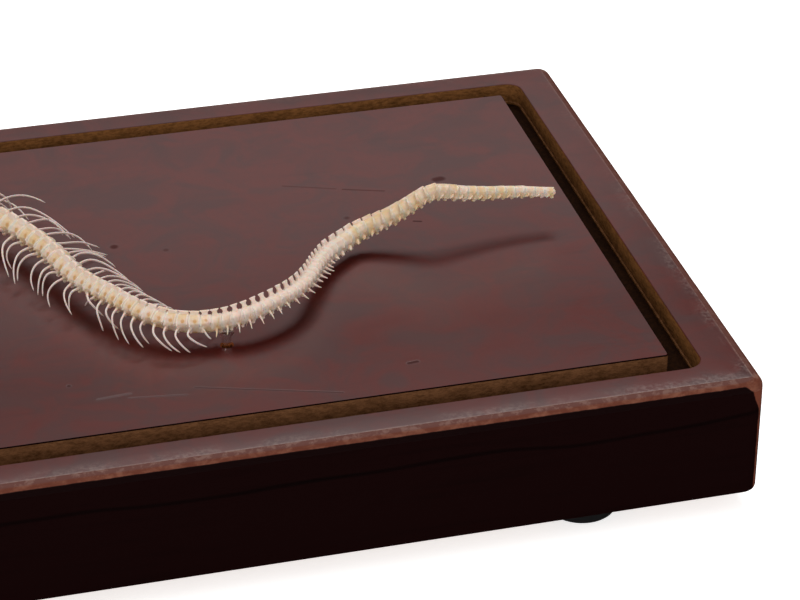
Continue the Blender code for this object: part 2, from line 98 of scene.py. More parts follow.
def placeCamera():
    turn, down, roll = (math.radians(studio[k]) for k in ("turn", "down", "roll"))
    ahead = Vector((math.sin(turn) * math.cos(down), math.cos(turn) * math.cos(down), -math.sin(down)))
    right = Vector((math.cos(turn), -math.sin(turn), 0))
    up = right.cross(ahead)
    level, upright = right, up
    right = level * math.cos(roll) + upright * math.sin(roll)
    up = upright * math.cos(roll) - level * math.sin(roll)
    turned = Matrix((right, up, -ahead)).transposed().to_4x4()
    camera = bpy.data.objects.new("camera", bpy.data.cameras.new("camera"))
    scene.collection.objects.link(camera)
    camera.matrix_world = Matrix.Translation(Vector(studio["cameraPlace"]) * mm) @ turned
    camera.data.lens = studio["lens"]
    camera.data.sensor_width = 36
    camera.data.clip_start = 0.01
    scene.camera = camera


def lightRoom():
    for name in ("lamp", "fill"):
        light = bpy.data.objects.new(name + "Light", bpy.data.lights.new(name + "Light", "SUN"))
        light.data.energy = studio[name + "Strength"]
        light.data.angle = math.radians(studio[name + "Spread"])
        light.rotation_mode = "QUATERNION"
        light.rotation_quaternion = Vector(studio[name + "Direction"]).to_track_quat("Z", "Y")
        scene.collection.objects.link(light)
        light.visible_glossy = name == "lamp"
    world = bpy.data.worlds.new("paleRoom")
    world.use_nodes = True
    sky = world.node_tree.nodes["Background"]
    sky.inputs["Color"].default_value = studio["sky"]
    sky.inputs["Strength"].default_value = studio["skyStrength"]
    world.cycles_visibility.glossy = False
    scene.world = world
    scene.view_settings.view_transform = "Standard"


class Wire:
    # what comes out of a node; sums with numbers or other wires add their Math nodes
    def __init__(self, finish, socket):
        self.finish = finish
        self.socket = socket

    def sum(self, operation, first, second, clamp=False):
        settings = {"operation": operation, "use_clamp": clamp}
        return self.finish.node("ShaderNodeMath", settings, {0: first, 1: second})

    def __add__(self, other):
        return self.sum("ADD", self, other)

    def __radd__(self, other):
        return self.sum("ADD", other, self)

    def __sub__(self, other):
        return self.sum("SUBTRACT", self, other)

    def __rsub__(self, other):
        return self.sum("SUBTRACT", other, self)

    def __mul__(self, other):
        return self.sum("MULTIPLY", self, other)

    def __rmul__(self, other):
        return self.sum("MULTIPLY", other, self)

    def clamped(self):
        return self.sum("ADD", self, 0.0, True)

    def most(self, other):
        return self.sum("MAXIMUM", self, other)

    def least(self, other):
        return self.sum("MINIMUM", self, other)

    def size(self):  # without its sign
        return self.finish.node("ShaderNodeMath", {"operation": "ABSOLUTE"}, {0: self})

    def between(self, low, high):  # 0 at low, 1 at high, smooth between
        settings = {"interpolation_type": "SMOOTHSTEP"}
        return self.finish.node("ShaderNodeMapRange", settings, {0: self, 1: low, 2: high})


class Finish:
    # one material: its nodes work on the place in millimetres
    def __init__(self, name, roughness=0.5, **constants):
        self.material = bpy.data.materials.new(name)
        self.material.use_nodes = True
        self.tree = self.material.node_tree
        self.shader = self.tree.nodes["Principled BSDF"]
        self.shader.inputs["Roughness"].default_value = roughness
        for socket, value in constants.items():
            self.shader.inputs[socket.replace("_", " ")].default_value = value
        coordinates = self.node("ShaderNodeTexCoord", {}, {}, "Object")
        self.place = self.vector("SCALE", coordinates, scale=1 / mm)

    def node(self, kind, settings, sockets, out=0):
        made = self.tree.nodes.new(kind)
        for key, value in settings.items():
            setattr(made, key, value)
        for key, value in sockets.items():
            if isinstance(value, Wire):
                self.tree.links.new(value.socket, made.inputs[key])
            else:
                made.inputs[key].default_value = value
        return Wire(self, made.outputs[out])

    def vector(self, operation, first, second=(0, 0, 0), scale=1.0):
        out = 1 if operation in ("DISTANCE", "DOT_PRODUCT") else 0
        sockets = {0: first, 1: second, 3: scale}
        return self.node("ShaderNodeVectorMath", {"operation": operation}, sockets, out)

    def noise(self, size, detail=3.0, roughness=0.5, stretch=(1, 1, 1), warp=0.0):
        # soft noise whose blobs are about size millimetres across
        place = self.vector("MULTIPLY", self.place, [s / size for s in stretch])
        sockets = {"Vector": place, "Scale": 1.0, "Detail": detail, "Roughness": roughness}
        return self.node("ShaderNodeTexNoise", {}, {**sockets, "Distortion": warp})

    def mix(self, share, first, second):
        return self.node("ShaderNodeMix", {"data_type": "RGBA"}, {0: share, 6: first, 7: second}, 2)

    def along(self, axis):
        return self.node("ShaderNodeSeparateXYZ", {}, {0: self.place}, axis)

    def stroke(self, start, end, half, soft):
        # 1 up to half millimetres from the line from start to end, fading out over soft more
        run = Vector(end) - Vector(start)
        offset = self.vector("SUBTRACT", self.place, tuple(start))
        share = self.vector("DOT_PRODUCT", offset, tuple(run / max(run.length_squared, 1e-6))).clamped()
        nearest = self.vector("SCALE", tuple(run), scale=share)
        away = self.vector("DISTANCE", offset, nearest)
        return 1 - away.between(half, half + soft)

    def bump(self, height, distance, strength=1.0):
        sockets = {"Height": height, "Distance": distance * mm, "Strength": strength}
        return self.node("ShaderNodeBump", {}, sockets)

    def wear(self, **links):
        for socket, value in links.items():
            self.tree.links.new(value.socket, self.shader.inputs[socket.replace("_", " ")])
        return self.material


placeCamera()
lightRoom()


def finishPiece(piece, slot, *nodes):
    if piece.name not in scene.collection.objects:
        scene.collection.objects.link(piece)
    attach(piece, "root")
    if nodes:
        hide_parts(*nodes)


def meshPiece(name, points, faces, materials, faceMaterials=None, sharp=30):
    mesh = bpy.data.meshes.new(name)
    mesh.from_pydata([tuple(p) for p in points], [], [tuple(f) for f in faces])
    for material in materials:
        mesh.materials.append(material)
    if faceMaterials is not None:
        mesh.polygons.foreach_set("material_index", np.array(faceMaterials, np.int32))
    mesh.shade_smooth()
    mesh.set_sharp_from_angle(angle=math.radians(sharp))
    return bpy.data.objects.new(name, mesh)


def evaluatedMesh(thing):
    graph = bpy.context.evaluated_depsgraph_get()
    return bpy.data.meshes.new_from_object(thing.evaluated_get(graph))


# floor
def layFloor():
    glow = studio["floorGlow"]
    finish = Finish("paleFloor", 0.9, Emission_Color=(1, 1, 1, 1), Emission_Strength=glow)
    grain = finish.noise(60, 2)
    colour = finish.mix(grain, studio["floorColour"], [c * 0.985 for c in studio["floorColour"][:3]] + [1])
    finish.wear(Base_Color=colour)
    half = studio["floorSize"] * mm / 2
    corners = [(-half, -half, 0), (half, -half, 0), (half, half, 0), (-half, half, 0)]
    floor = meshPiece("floor", corners, [(0, 1, 2, 3)], [finish.material])
    floor.visible_glossy = False
    scene.collection.objects.link(floor)


layFloor()
report("camera, light and floor")


# the board
board = {
    "length": 362.0,
    "depth": 143.8,
    "bottom": 4.6,
    "top": 29.6,
    "corner": 3.0,
    "topRound": 2.1,
    "bottomBevel": 1.0,
    "longRim": 7.9,
    "endRim": 9.4,
    "grooveWidth": 5.4,
    "grooveDepth": 4.9,
    "grooveCorner": 3.5,
    "plateauCorner": 0.5,
    "lip": 0.12,
    "ledge": 0.3,
    "ledgeHeights": (0.42, 0.55),
    "bevelSteps": 3,
    "roundSteps": 7,
    "cornerSteps": 8,
    "sideSteps": (150, 60),
    "edgeWaviness": 0.16,
    "holeRadius": 1.05,
    "holeRim": 1.35,
    "holeDepth": 7.0,
    "holeSides": 28,
}
boardColours = {
    "redVeneer": paint(95, 26, 17),
    "brownVeneer": paint(86, 24, 15),
    "greyVeneer": paint(73, 30, 27),
    "rubbedVeneer": paint(98, 58, 50),
    "darkLine": paint(60, 10, 6),
    "side": paint(20, 3, 3),
    "sideLine": paint(10, 2, 2),
    "copper": paint(99, 50, 35),
    "copperPale": paint(124, 76, 58),
    "holeRim": paint(160, 82, 40),
    "dust": paint(150, 120, 108),
    "fibre": paint(148, 102, 68),
    "fibreDark": paint(88, 56, 32),
    "outerWall": paint(158, 106, 60),
    "outerWallDark": paint(90, 57, 29),
    # groove floor: brown fibre, painted darker as the shade down in the groove
    "shadedGrooveFloor": paint(44, 22, 6),
    "shadedGrooveFleck": paint(25, 10, 3),
    "underside": paint(120, 84, 48),
}
# small marks on the lacquer: start, end (x and y), half-width, softness and how dark
boardMarks = (
    ((70.3, 9.6), (70.3, 9.6), 0.4, 0.9, 0.75),
    ((80.4, 5.6), (80.4, 5.6), 0.3, 0.6, 0.5),
    ((55.3, -41.1), (55.3, -41.1), 0.25, 0.4, 0.8),
    ((141.4, 21.6), (142.4, 21.8), 0.5, 1.0, 0.6),
    ((118.2, -49.2), (119.8, -49.0), 0.2, 0.5, 0.9),
    ((132.3, 4.7), (133.7, 4.2), 0.12, 0.25, 1.0),
    ((108.9, 27.1), (119.5, 23.0), 0.05, 0.4, 0.35),
    ((121.0, 22.3), (129.3, 19.4), 0.06, 0.4, 0.5),
    ((119.1, 9.6), (119.1, 9.6), 0.2, 0.9, 0.5),
    ((65.7, -48.0), (76.0, -49.5), 0.05, 0.3, 0.5),
    ((78.0, -47.5), (104.0, -56.0), 0.06, 0.35, 0.7),
    ((60.0, -47.0), (66.0, -46.5), 0.05, 0.5, 0.35),
    ((20.0, -12.0), (20.6, -12.1), 0.3, 0.8, 0.5),
    ((-21.0, 22.0), (-9.0, 25.0), 0.06, 0.4, 0.35),
    ((-38.0, 45.0), (-37.6, 45.4), 0.4, 0.9, 0.6),
    ((-84.0, -8.0), (-83.5, -8.3), 0.25, 0.7, 0.6),
    ((-118.0, -41.0), (-97.0, -44.5), 0.06, 0.35, 0.45),
    ((-135.0, 34.0), (-134.5, 34.1), 0.35, 0.9, 0.6),
    ((-60.0, -52.0), (-51.0, -50.5), 0.05, 0.4, 0.4),
)


def rectangleLoop(insetX, insetY, radius, height):
    # points round a rounded rectangle, always the same number
    halfX = (board["length"] / 2 - insetX) * mm
    halfY = (board["depth"] / 2 - insetY) * mm
    radius *= mm
    longSteps, shortSteps = board["sideSteps"]
    made = []
    for quarter, (sx, sy) in enumerate(((1, 1), (-1, 1), (-1, -1), (1, -1))):
        middle = Vector((sx * (halfX - radius), sy * (halfY - radius), height * mm))
        for step in range(board["cornerSteps"] + 1):
            a = math.pi / 2 * (quarter + step / board["cornerSteps"])
            made.append(middle + Vector((radius * math.cos(a), radius * math.sin(a), 0)))
        nextX, nextY = ((-1, 1), (-1, -1), (1, -1), (1, 1))[quarter]
        last = made[-1]
        away = math.pi / 2 * (quarter + 1)
        goal = Vector((nextX * (halfX - radius), nextY * (halfY - radius), height * mm))
        goal += Vector((radius * math.cos(away), radius * math.sin(away), 0))
        steps = longSteps if quarter % 2 == 0 else shortSteps
        for step in range(1, steps):
            made.append(last.lerp(goal, step / steps))
    return made


def boardLoops():
    # each loop of the outline from the underside up, over the rim, down the groove and up again,
    # with the material of the band that follows it: 0 side, 1 worn edge, 2 veneer, 3 groove walls,
    # 4 groove floor, 6 outer groove wall; 5 is the underside and 7 the rims of the holes
    bottom, top, corner = board["bottom"], board["top"], board["corner"]
    floor = top - board["grooveDepth"]
    bevel, rounding = board["bottomBevel"], board["topRound"]
    loops = []
    for step in range(board["bevelSteps"] + 1):
        a = math.pi / 2 * step / board["bevelSteps"]
        inset = bevel * (1 - math.sin(a))
        loops.append((inset, inset, corner - inset, bottom + bevel * (1 - math.cos(a)), 0))
    for share in (0.15, 0.5, 0.85):
        loops.append((0, 0, corner, lerp(bottom + bevel, top - rounding, share), 0))
    for step in range(board["roundSteps"] + 1):
        a = math.pi / 2 * step / board["roundSteps"]
        inset = rounding * (1 - math.cos(a))
        band = 1 if step < board["roundSteps"] else 2
        loops.append((inset, inset, corner - inset, top - rounding * (1 - math.sin(a)), band))
    lip, ledge = board["lip"], board["ledge"]
    ledgeLow, ledgeHigh = board["ledgeHeights"]
    # how far into the groove, or over its far wall, each loop lies, with its height and its band
    outer = ((-lip, top, 2), (0, top - lip, 6), (0, floor + ledgeHigh, 3), (ledge, floor + ledgeLow, 6),
             (ledge, floor, 4))
    inner = ((0, floor, 3), (0, top - 0.25, 0), (0, top - lip, 0), (lip, top, 2))
    for extra, radius, turn, rows in (
        (0, board["grooveCorner"], -1, outer), (board["grooveWidth"], board["plateauCorner"], 0, inner)
    ):
        for over, height, band in rows:
            insetX, insetY = (board[rim] + extra + over for rim in ("endRim", "longRim"))
            loops.append((insetX, insetY, radius + turn * over, height, band))
    return loops


def roughen(point, inward, amount, size):
    # pushes a point in by up to amount, in blotches of that size
    value = noise.fractal(point / (size * mm), 0.7, 2.0, 3)
    return point + inward * (min(max(value * 0.5 + 0.35, 0.0), 1.0) * amount * mm)


def buildBoardMesh():
    points, faces, bands = [], [], []
    rings = []
    for insetX, insetY, radius, height, band in boardLoops():
        loop = rectangleLoop(insetX, insetY, max(radius, 0.05), height)
        if band in (1, 3, 4, 6) and height < board["top"]:
            inwards = 0.35 if band == 1 else 0.12
            middle = Vector((0, 0, loop[0].z))
            loop = [roughen(p, (middle - p).normalized(), board["edgeWaviness"] * inwards, 9) for p in loop]
        rings.append((list(range(len(points), len(points) + len(loop))), band))
        points.extend(loop)
    for (first, band), (second, _) in zip(rings, rings[1:]):
        for k in range(len(first)):
            n = (k + 1) % len(first)
            faces.append((first[k], first[n], second[n], second[k]))
            bands.append(band)
    faces.append(tuple(reversed(rings[0][0])))
    bands.append(5)
    faces.append(tuple(rings[-1][0]))
    bands.append(2)
    return points, faces, bands


def veneerFinish():
    finish = Finish("veneer", roughness=0.55, Specular_IOR_Level=1.0)
    c = boardColours
    cloud = finish.noise(12, 5, 0.68, (0.9, 1.0, 1), 0.8)
    patch = finish.noise(9, 4, 0.6, (0.7, 1.1, 1), 0.4)
    grain = finish.noise(2.6, 4, 0.7, (0.12, 1.4, 1), 0.3)
    # painted fall-off of light: the veneer is painted greyer and darker towards the front
    paintedFrontFalloff = (0 - finish.along(1)).between(-25.0, 60.0)
    grey = (cloud.between(0.38, 0.64) * 0.85 + paintedFrontFalloff * 0.3).clamped()
    colour = finish.mix(grey, c["redVeneer"], c["greyVeneer"])
    colour = finish.mix(patch.between(0.45, 0.72) * 0.45, colour, c["brownVeneer"])
    colour = finish.mix(grain.between(0.5, 0.85) * 0.4, colour, c["darkLine"])
    fine = finish.noise(1.3, 3, 0.6, (1.2, 0.5, 1))
    colour = finish.mix(fine.between(0.45, 0.75) * 0.3, colour, c["greyVeneer"])
    dark = None
    for start, end, half, soft, strength in boardMarks:
        mark = finish.stroke((*start, board["top"]), (*end, board["top"]), half, soft) * strength
        dark = mark if dark is None else dark.most(mark)
    colour = finish.mix(dark, colour, c["darkLine"])
    edge = edgeDistance(finish)
    speck = finish.noise(0.9, 4, 0.75)
    towardsFront = (0 - finish.along(1)).between(20.0, board["depth"] / 2)
    towardsEnd = finish.along(0).between(0.0, board["length"] / 2)
    handled = (towardsFront.most(towardsEnd * 0.6)).clamped()
    scuff = (1 - edge.between(0.2, 3.4)) * finish.noise(16, 3, 0.6).between(0.4, 0.62)
    scuff = scuff * speck.between(0.42, 0.66) * handled
    rim = (1 - edge.between(0.02, 0.5)) * speck.between(0.3, 0.6) * handled
    colour = finish.mix((scuff * 0.42).most(rim * 0.6), colour, c["dust"])
    handledRough = (0.41 + finish.along(1) * 0.0028).most(0.3)
    rough = handledRough + cloud * 0.08 + scuff * 0.2 + dark * 0.75
    height = grain * 0.4 + finish.noise(0.8, 3, 0.6) * 0.3 - dark
    return finish.wear(Base_Color=colour, Roughness=rough, Normal=finish.bump(height, 0.03, 0.6))


def edgeDistance(finish):
    # millimetres from the place to where the board's top starts to round off
    fromX, fromY = (
        board[side] / 2 - board["topRound"] - finish.along(axis).size()
        for axis, side in enumerate(("length", "depth"))
    )
    return fromX.least(fromY)


def sideFinish():
    finish = Finish("darkSide", roughness=0.6, Specular_IOR_Level=0.03)
    c = boardColours
    wave = finish.noise(60, 2, 0.5, (1, 1, 0)) * 7
    line = finish.along(2) + wave
    ring = finish.node("ShaderNodeMath", {"operation": "PINGPONG"}, {0: line, 1: 13.0})
    streak = (1 - ring.between(0.1, 0.7)) * 0.8
    grain = finish.noise(3, 4, 0.7, (0.1, 0.1, 2.2))
    colour = finish.mix((streak + grain.between(0.5, 0.8) * 0.4).clamped(), c["side"], c["sideLine"])
    topness = finish.along(2).between(board["top"] - 7, board["top"] - 2)
    corner = (cornerPlace(finish) + topness * 1.5 + finish.noise(1.6, 3, 0.6) * 0.5).between(1.95, 2.25)
    worn = corner * finish.noise(7, 3, 0.6).between(0.2, 0.45)
    colour = finish.mix(worn, colour, c["copper"])
    return finish.wear(Base_Color=colour, Normal=finish.bump(grain, 0.02, 0.5))


def roundShare(finish):
    # 1 over the round of the board's upright corners
    return cornerPlace(finish).between(-1.5, 0.8)


def cornerPlace(finish):
    # millimetres round the board's upright corners, most in their middle
    outX, outY = (
        finish.along(axis).size() - (board[side] / 2 - board["corner"])
        for axis, side in enumerate(("length", "depth"))
    )
    return outX.least(outY)


def wornEdgeFinish():
    finish = Finish("wornEdge", roughness=0.6, Specular_IOR_Level=0.15)
    c = boardColours
    top = board["top"]
    corner = roundShare(finish)
    longSide = finish.along(1).size().between(board["depth"] / 2 - 8, board["depth"] / 2 - 2.5)
    fleck = finish.noise(1.1, 4, 0.65, (0.5, 0.5, 1))
    wobble = finish.noise(4, 4, 0.65) * 0.5 + fleck * 0.3
    height = finish.along(2)
    bareness = height + corner * 1.3 + (1 - longSide) * 0.9 + longSide * 0.22 + wobble * 0.4 + 0.24
    bare = bareness.between(top - 0.35, top - 0.2)
    lacquered = (height - corner * 0.25 + wobble * 0.2 + 0.12).between(top - 0.2, top - 0.04)
    colour = finish.mix(fleck.between(0.4, 0.75), c["copper"], c["copperPale"])
    colour = finish.mix(1 - bare, colour, c["side"])
    colour = finish.mix(lacquered, colour, c["rubbedVeneer"])
    crest = height.between(top - 0.5, top - 0.1) * fleck.between(0.48, 0.62) * (longSide * 0.7 + 0.3)
    colour = finish.mix(crest * 0.35, colour, c["dust"])
    return finish.wear(Base_Color=colour, Normal=finish.bump(fleck, 0.05, 0.7))


def fibreFinish(name, pale, dark, size):
    finish = Finish(name, roughness=0.9, Specular_IOR_Level=0.05)
    fibres = finish.noise(size, 5, 0.75, (0.7, 0.7, 1.6))
    blots = finish.noise(6, 3, 0.6)
    # painted shade: darker towards the floor of the groove
    low = (board["top"] - finish.along(2)).between(0.5, board["grooveDepth"]) * 0.45
    share = (fibres.between(0.36, 0.66) * 0.6 + blots.between(0.35, 0.7) * 0.25 + low).clamped()
    colour = finish.mix(share, pale, dark)
    return finish.wear(Base_Color=colour, Normal=finish.bump(fibres, 0.15, 0.9))


def makeBoard(pegPlaces):
    c = boardColours
    materials = [
        sideFinish(),
        wornEdgeFinish(),
        veneerFinish(),
        fibreFinish("fibreWall", c["fibre"], c["fibreDark"], 0.9),
        # the groove floor's fibre, painted darker as shade
        fibreFinish("shadedFibreFloor", c["shadedGrooveFloor"], c["shadedGrooveFleck"], 0.6),
        fibreFinish("underside", c["underside"], c["fibreDark"], 1.6),
        fibreFinish("outerWall", c["outerWall"], c["outerWallDark"], 0.9),
        fibreFinish("holeRim", c["holeRim"], c["fibreDark"], 0.5),
    ]
    points, faces, bands = buildBoardMesh()
    piece = meshPiece("displayBoard", points, faces, materials, bands, 35)
    scene.collection.objects.link(piece)
    for x, y in pegPlaces:
        drill(piece, x, y, materials)
    piece.data.shade_smooth()
    piece.data.set_sharp_from_angle(angle=math.radians(35))
    finishPiece(piece, "board", "board")


def drill(piece, x, y, materials):
    # cuts one peg hole with a slightly broken rim
    top = board["top"]
    radius, rim = board["holeRadius"], board["holeRim"]
    profile = ((radius, top - board["holeDepth"]), (radius, top - 0.35), (rim, top + 0.02), (rim, top + 1))
    points, faces = lathe(profile, board["holeSides"], (x, y))
    cutter = meshPiece("cutter", points, faces, materials, [7] * len(faces))
    scene.collection.objects.link(cutter)
    step = piece.modifiers.new("hole", "BOOLEAN")
    step.object = cutter
    step.operation = "DIFFERENCE"
    step.solver = "EXACT"
    cut = evaluatedMesh(piece)
    piece.modifiers.clear()
    piece.data = cut
    bpy.data.objects.remove(cutter)


def ringFaces(rings, sides):
    # the corners of each face between rings of points, ring by ring
    for row in range(rings - 1):
        for k in range(sides):
            n = (k + 1) % sides
            low, high = row * sides, (row + 1) * sides
            yield low + k, low + n, high + n, high + k


def lathe(profile, sides, centre):
    # a round solid from (radius, height) pairs, its faces looking outwards when the pairs run upward
    points = []
    for radius, height in profile:
        for k in range(sides):
            a = math.tau * k / sides
            at = (centre[0] + radius * math.cos(a), centre[1] + radius * math.sin(a), height)
            points.append(tuple(c * mm for c in at))
    ends = [tuple(reversed(range(sides))), tuple(range(len(points) - sides, len(points)))]
    return points, [*ringFaces(len(profile), sides), *ends]


def centreOf(node):
    low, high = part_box(node)
    return (low + high) / 2


pegNames = ("peg_head", "peg_front", "peg_middle", "peg_rear", "peg_tail")
makeBoard([(centreOf(name).x / mm, centreOf(name).y / mm) for name in pegNames])
report("board")


# rubber feet
foot = {
    "radius": 7.4,
    "height": 4.3,
    "taper": 0.6,
    "roundness": 0.5,
    "lipInset": 0.15,
    "recess": 2.6,
    "recessDepth": 0.25,
    "sides": 64,
    "colour": paint(20, 20, 21),
    "pale": paint(44, 44, 45),
}


def makeFeet():
    finish = Finish("blackRubber", roughness=0.7)
    grain = finish.noise(0.5, 3, 0.6)
    dust = finish.noise(4, 4, 0.7).between(0.5, 0.8)
    colour = finish.mix(dust * 0.5, foot["colour"], foot["pale"])
    finish.wear(Base_Color=colour, Roughness=0.6 + dust * 0.25, Normal=finish.bump(grain, 0.04, 0.6))
    radius, tall, recess = foot["radius"], foot["height"], foot["recess"]
    low = radius - foot["taper"]
    soft = foot["roundness"]
    profile = [(recess * 0.3, foot["recessDepth"]), (recess, foot["recessDepth"]), (recess + 0.3, 0.0)]
    for step in range(6):
        a = math.pi / 2 * step / 5
        profile.append((low - soft + soft * math.sin(a), soft * (1 - math.cos(a))))
    inset = foot["lipInset"]
    profile += [(radius - inset, tall * 0.8), (radius - inset, tall * 0.86), (radius, tall * 0.88)]
    profile.append((radius, tall))
    for name in ("foot_head_front", "foot_head_back", "foot_tail_front", "foot_tail_back"):
        centre = centreOf(name)
        points, faces = lathe(profile, foot["sides"], (centre.x / mm, centre.y / mm))
        piece = meshPiece(name.replace("foot", "rubberFoot"), points, faces, [finish.material])
        finishPiece(piece, "foot", name)


makeFeet()
report("feet")

# the backbone's line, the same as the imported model's: x and y from the board's centre, height
# over the board, and roll in degrees, from ahead of the head to the tip of the tail
route = (
    (-164.0, -13.0, 14.5, 0), (-143.0, -9.5, 14.5, 0), (-127.5, -2.5, 12.5, 0), (-116.5, 11.0, 10.0, 0),
    (-106.0, 26.0, 8.9, 0), (-91.0, 33.5, 8.6, 0), (-76.0, 27.5, 8.6, 0), (-64.5, 12.0, 8.6, 0),
    (-56.0, -7.0, 8.6, 0), (-46.0, -25.0, 8.6, 0), (-31.0, -32.5, 8.6, 0), (-16.0, -23.0, 8.5, 0),
    (-6.0, -4.0, 8.4, 0), (2.0, 16.0, 8.2, 0), (12.0, 33.5, 8.0, -1), (26.0, 37.5, 7.8, -3),
    (38.6, 28.6, 7.7, -4), (48.6, 14.1, 7.6, -4), (56.4, -0.5, 7.4, -4), (61.0, -12.3, 6.9, -4),
    (66.6, -21.4, 6.9, -4), (71.6, -27.9, 6.3, -5), (77.0, -31.6, 5.6, -9), (82.8, -33.0, 5.3, -18),
    (89.0, -33.3, 6.0, -25), (94.1, -32.0, 6.7, -28), (101.2, -27.6, 6.9, -28), (105.8, -20.3, 6.2, -28),
    (110.7, -11.8, 4.8, -28), (114.8, -7.7, 4.4, -28), (118.6, -5.1, 4.8, -28), (125.3, -5.0, 7.3, -28),
    (131.5, -5.4, 11.0, -27), (134.8, -5.5, 12.2, -26), (140.6, -5.0, 10.8, -25),
    (152.7, -4.0, 8.8, -22), (159.8, -4.5, 7.9, -20),
)
backbone = {
    "neckCount": 12,
    "trunkCount": 108,
    "tailCount": 43,
    "tipCount": 13,
    "trunkLengths": 6,
    "tailLengths": 3,
    "frontPitch": 2.1,
    "middlePitch": 3.32,
    "tailPitch": 2.11,
    "closeCount": 14,
    "closer": 0.12,
    "wider": 0.058,
    "tipPitch": 2.2,
    "neckHalf": 1.3,
    "trunkHalf": 2.5,
    "rearNarrowing": 0.4,
    "tailHalf": 2.1,
    "tailNarrowing": 0.3,
    "tipNarrowing": 0.75,
    "sway": 1.3,
    "samples": 4000,
    "seed": 7,
}
bodyCount = backbone["neckCount"] + backbone["trunkCount"]


def placesAlong(knots, power):
    # how far along each knot lies, counting each gap to that power
    return np.concatenate([[0], np.cumsum(np.linalg.norm(np.diff(knots, axis=0), axis=1) ** power)])


class Line:
    # the smooth curve through the route, read by millimetres from the tip of the tail
    def __init__(self):
        knots = np.array(route)
        knots[:, 2] += board["top"]
        places = placesAlong(knots[:, :3], 0.5)
        fine = np.linspace(0, places[-1], backbone["samples"])
        self.curve = self.through(places, knots, fine)
        self.along = placesAlong(self.curve[:, :3], 1)

    @staticmethod
    def through(x, y, at):
        n = len(x)
        h = np.diff(x)
        system = np.eye(n)
        right = np.zeros_like(y)
        for i in range(1, n - 1):
            system[i, i - 1 : i + 2] = h[i - 1], 2 * (h[i - 1] + h[i]), h[i]
            right[i] = 6 * ((y[i + 1] - y[i]) / h[i] - (y[i] - y[i - 1]) / h[i - 1])
        bend = np.linalg.solve(system, right)
        k = np.clip(np.searchsorted(x, at) - 1, 0, n - 2)
        a = ((x[k + 1] - at) / h[k])[:, None]
        b = 1 - a
        curved = ((a**3 - a) * bend[k] + (b**3 - b) * bend[k + 1]) * (h[k] ** 2)[:, None] / 6
        return a * y[k] + b * y[k + 1] + curved

    def at(self, fromTip):
        s = self.along[-1] - fromTip
        return np.array([np.interp(s, self.along, self.curve[:, k]) for k in range(4)])

    def frame(self, fromTip):
        # middle, left, way to the tail and up, in millimetres
        reach = 1.1
        here = self.at(fromTip)
        back = Vector(self.at(fromTip - reach)[:3] - self.at(fromTip + reach)[:3]).normalized()
        left = back.cross(Vector((0, 0, 1))).normalized()
        up = left.cross(back)
        roll = math.radians(here[3])
        turned = left * math.cos(roll) - up * math.sin(roll)
        return Vector(here[:3]), turned, back, turned.cross(back)


def vertebraPitches():
    found = []
    for i in range(bodyCount):
        t = i / (bodyCount - 1)
        front = lerp(backbone["frontPitch"], backbone["middlePitch"], ease(-0.05, 0.42, t))
        found.append(lerp(backbone["tailPitch"], front, ease(8, 25, bodyCount - 1 - i)))
    for k in range(backbone["tailCount"]):
        pitch = backbone["tipPitch" if k >= backbone["tailCount"] - backbone["tipCount"] else "tailPitch"]
        found.append(pitch - backbone["closer"] if k < backbone["closeCount"] else pitch + backbone["wider"])
    return found


line = Line()
pitches = vertebraPitches()
jointPlaces = sum(pitches) - np.concatenate([[0], np.cumsum(pitches)])
# how far the tail's joints stand from an even row, by millimetres from the tip
unevenJoints = (
    (0, 0.0), (42, -2.5), (46, -2.4), (48.1, -2.1), (50.1, -1.6), (52.2, -1.0), (54.2, -0.5), (56.3, 0.2),
    (58.3, 0.2), (60.4, -0.1), (62.4, -0.4), (64.5, -0.6), (66.5, -0.5), (68.6, -0.2), (71, 0.0), (500, 0.0),
)
jointPlaces = jointPlaces + np.interp(jointPlaces, *zip(*unevenJoints))
pitches = [float(pitch) for pitch in -np.diff(jointPlaces)]
# how far the bones lie below the line, by millimetres from the tip
sinking = ((0, 0.0), (45, 0.0), (50, 0.2), (55, 0.3), (200, 0.35), (300, 0.0), (500, 0.0))


def halfWidth(i):
    if i >= bodyCount:
        along = (i - bodyCount) / backbone["tailCount"]
        slimmer = backbone["tipNarrowing"] * ease(0.5, 1.0, along)
        return backbone["tailHalf"] - backbone["tailNarrowing"] * along - slimmer
    t = i / bodyCount
    half = lerp(backbone["neckHalf"], backbone["trunkHalf"], ease(-0.1, 0.45, t))
    return half - backbone["rearNarrowing"] * ease(0.78, 1.0, t)


def reading(table, at):
    # the row of a table of (place, values) at a place between its stops
    for (low, first), (high, second) in zip(table, table[1:]):
        if at <= high:
            t = max((at - low) / (high - low), 0)
            return [lerp(p, q, t) for p, q in zip(first, second)]
    return list(table[-1][1])


# tools that build one bone from lofts, lumps, bars and blades in a bmesh, then fuse them
def lump(bm, place, radii, tilt=(0, 0, 0)):
    shape = Matrix.LocRotScale(Vector(place), Euler([math.radians(a) for a in tilt]), Vector(radii))
    bmesh.ops.create_icosphere(bm, subdivisions=2, radius=1, matrix=shape)


def joinRings(bm, rings):
    bm.faces.new(rings[0])
    for ring, following in zip(rings, rings[1:]):
        for n in range(len(ring)):
            m = (n + 1) % len(ring)
            bm.faces.new((ring[n], following[n], following[m], ring[m]))
    bm.faces.new(reversed(rings[-1]))


def loft(bm, sections):
    # through sections of (y, half), where half runs (x, z) from the ridge down one side to the keel
    rings = []
    for y, half in sections:
        whole = list(half) + [(-x, z) for x, z in reversed(half[1:-1])]
        rings.append([bm.verts.new((x, y, z)) for x, z in whole])
    joinRings(bm, rings)


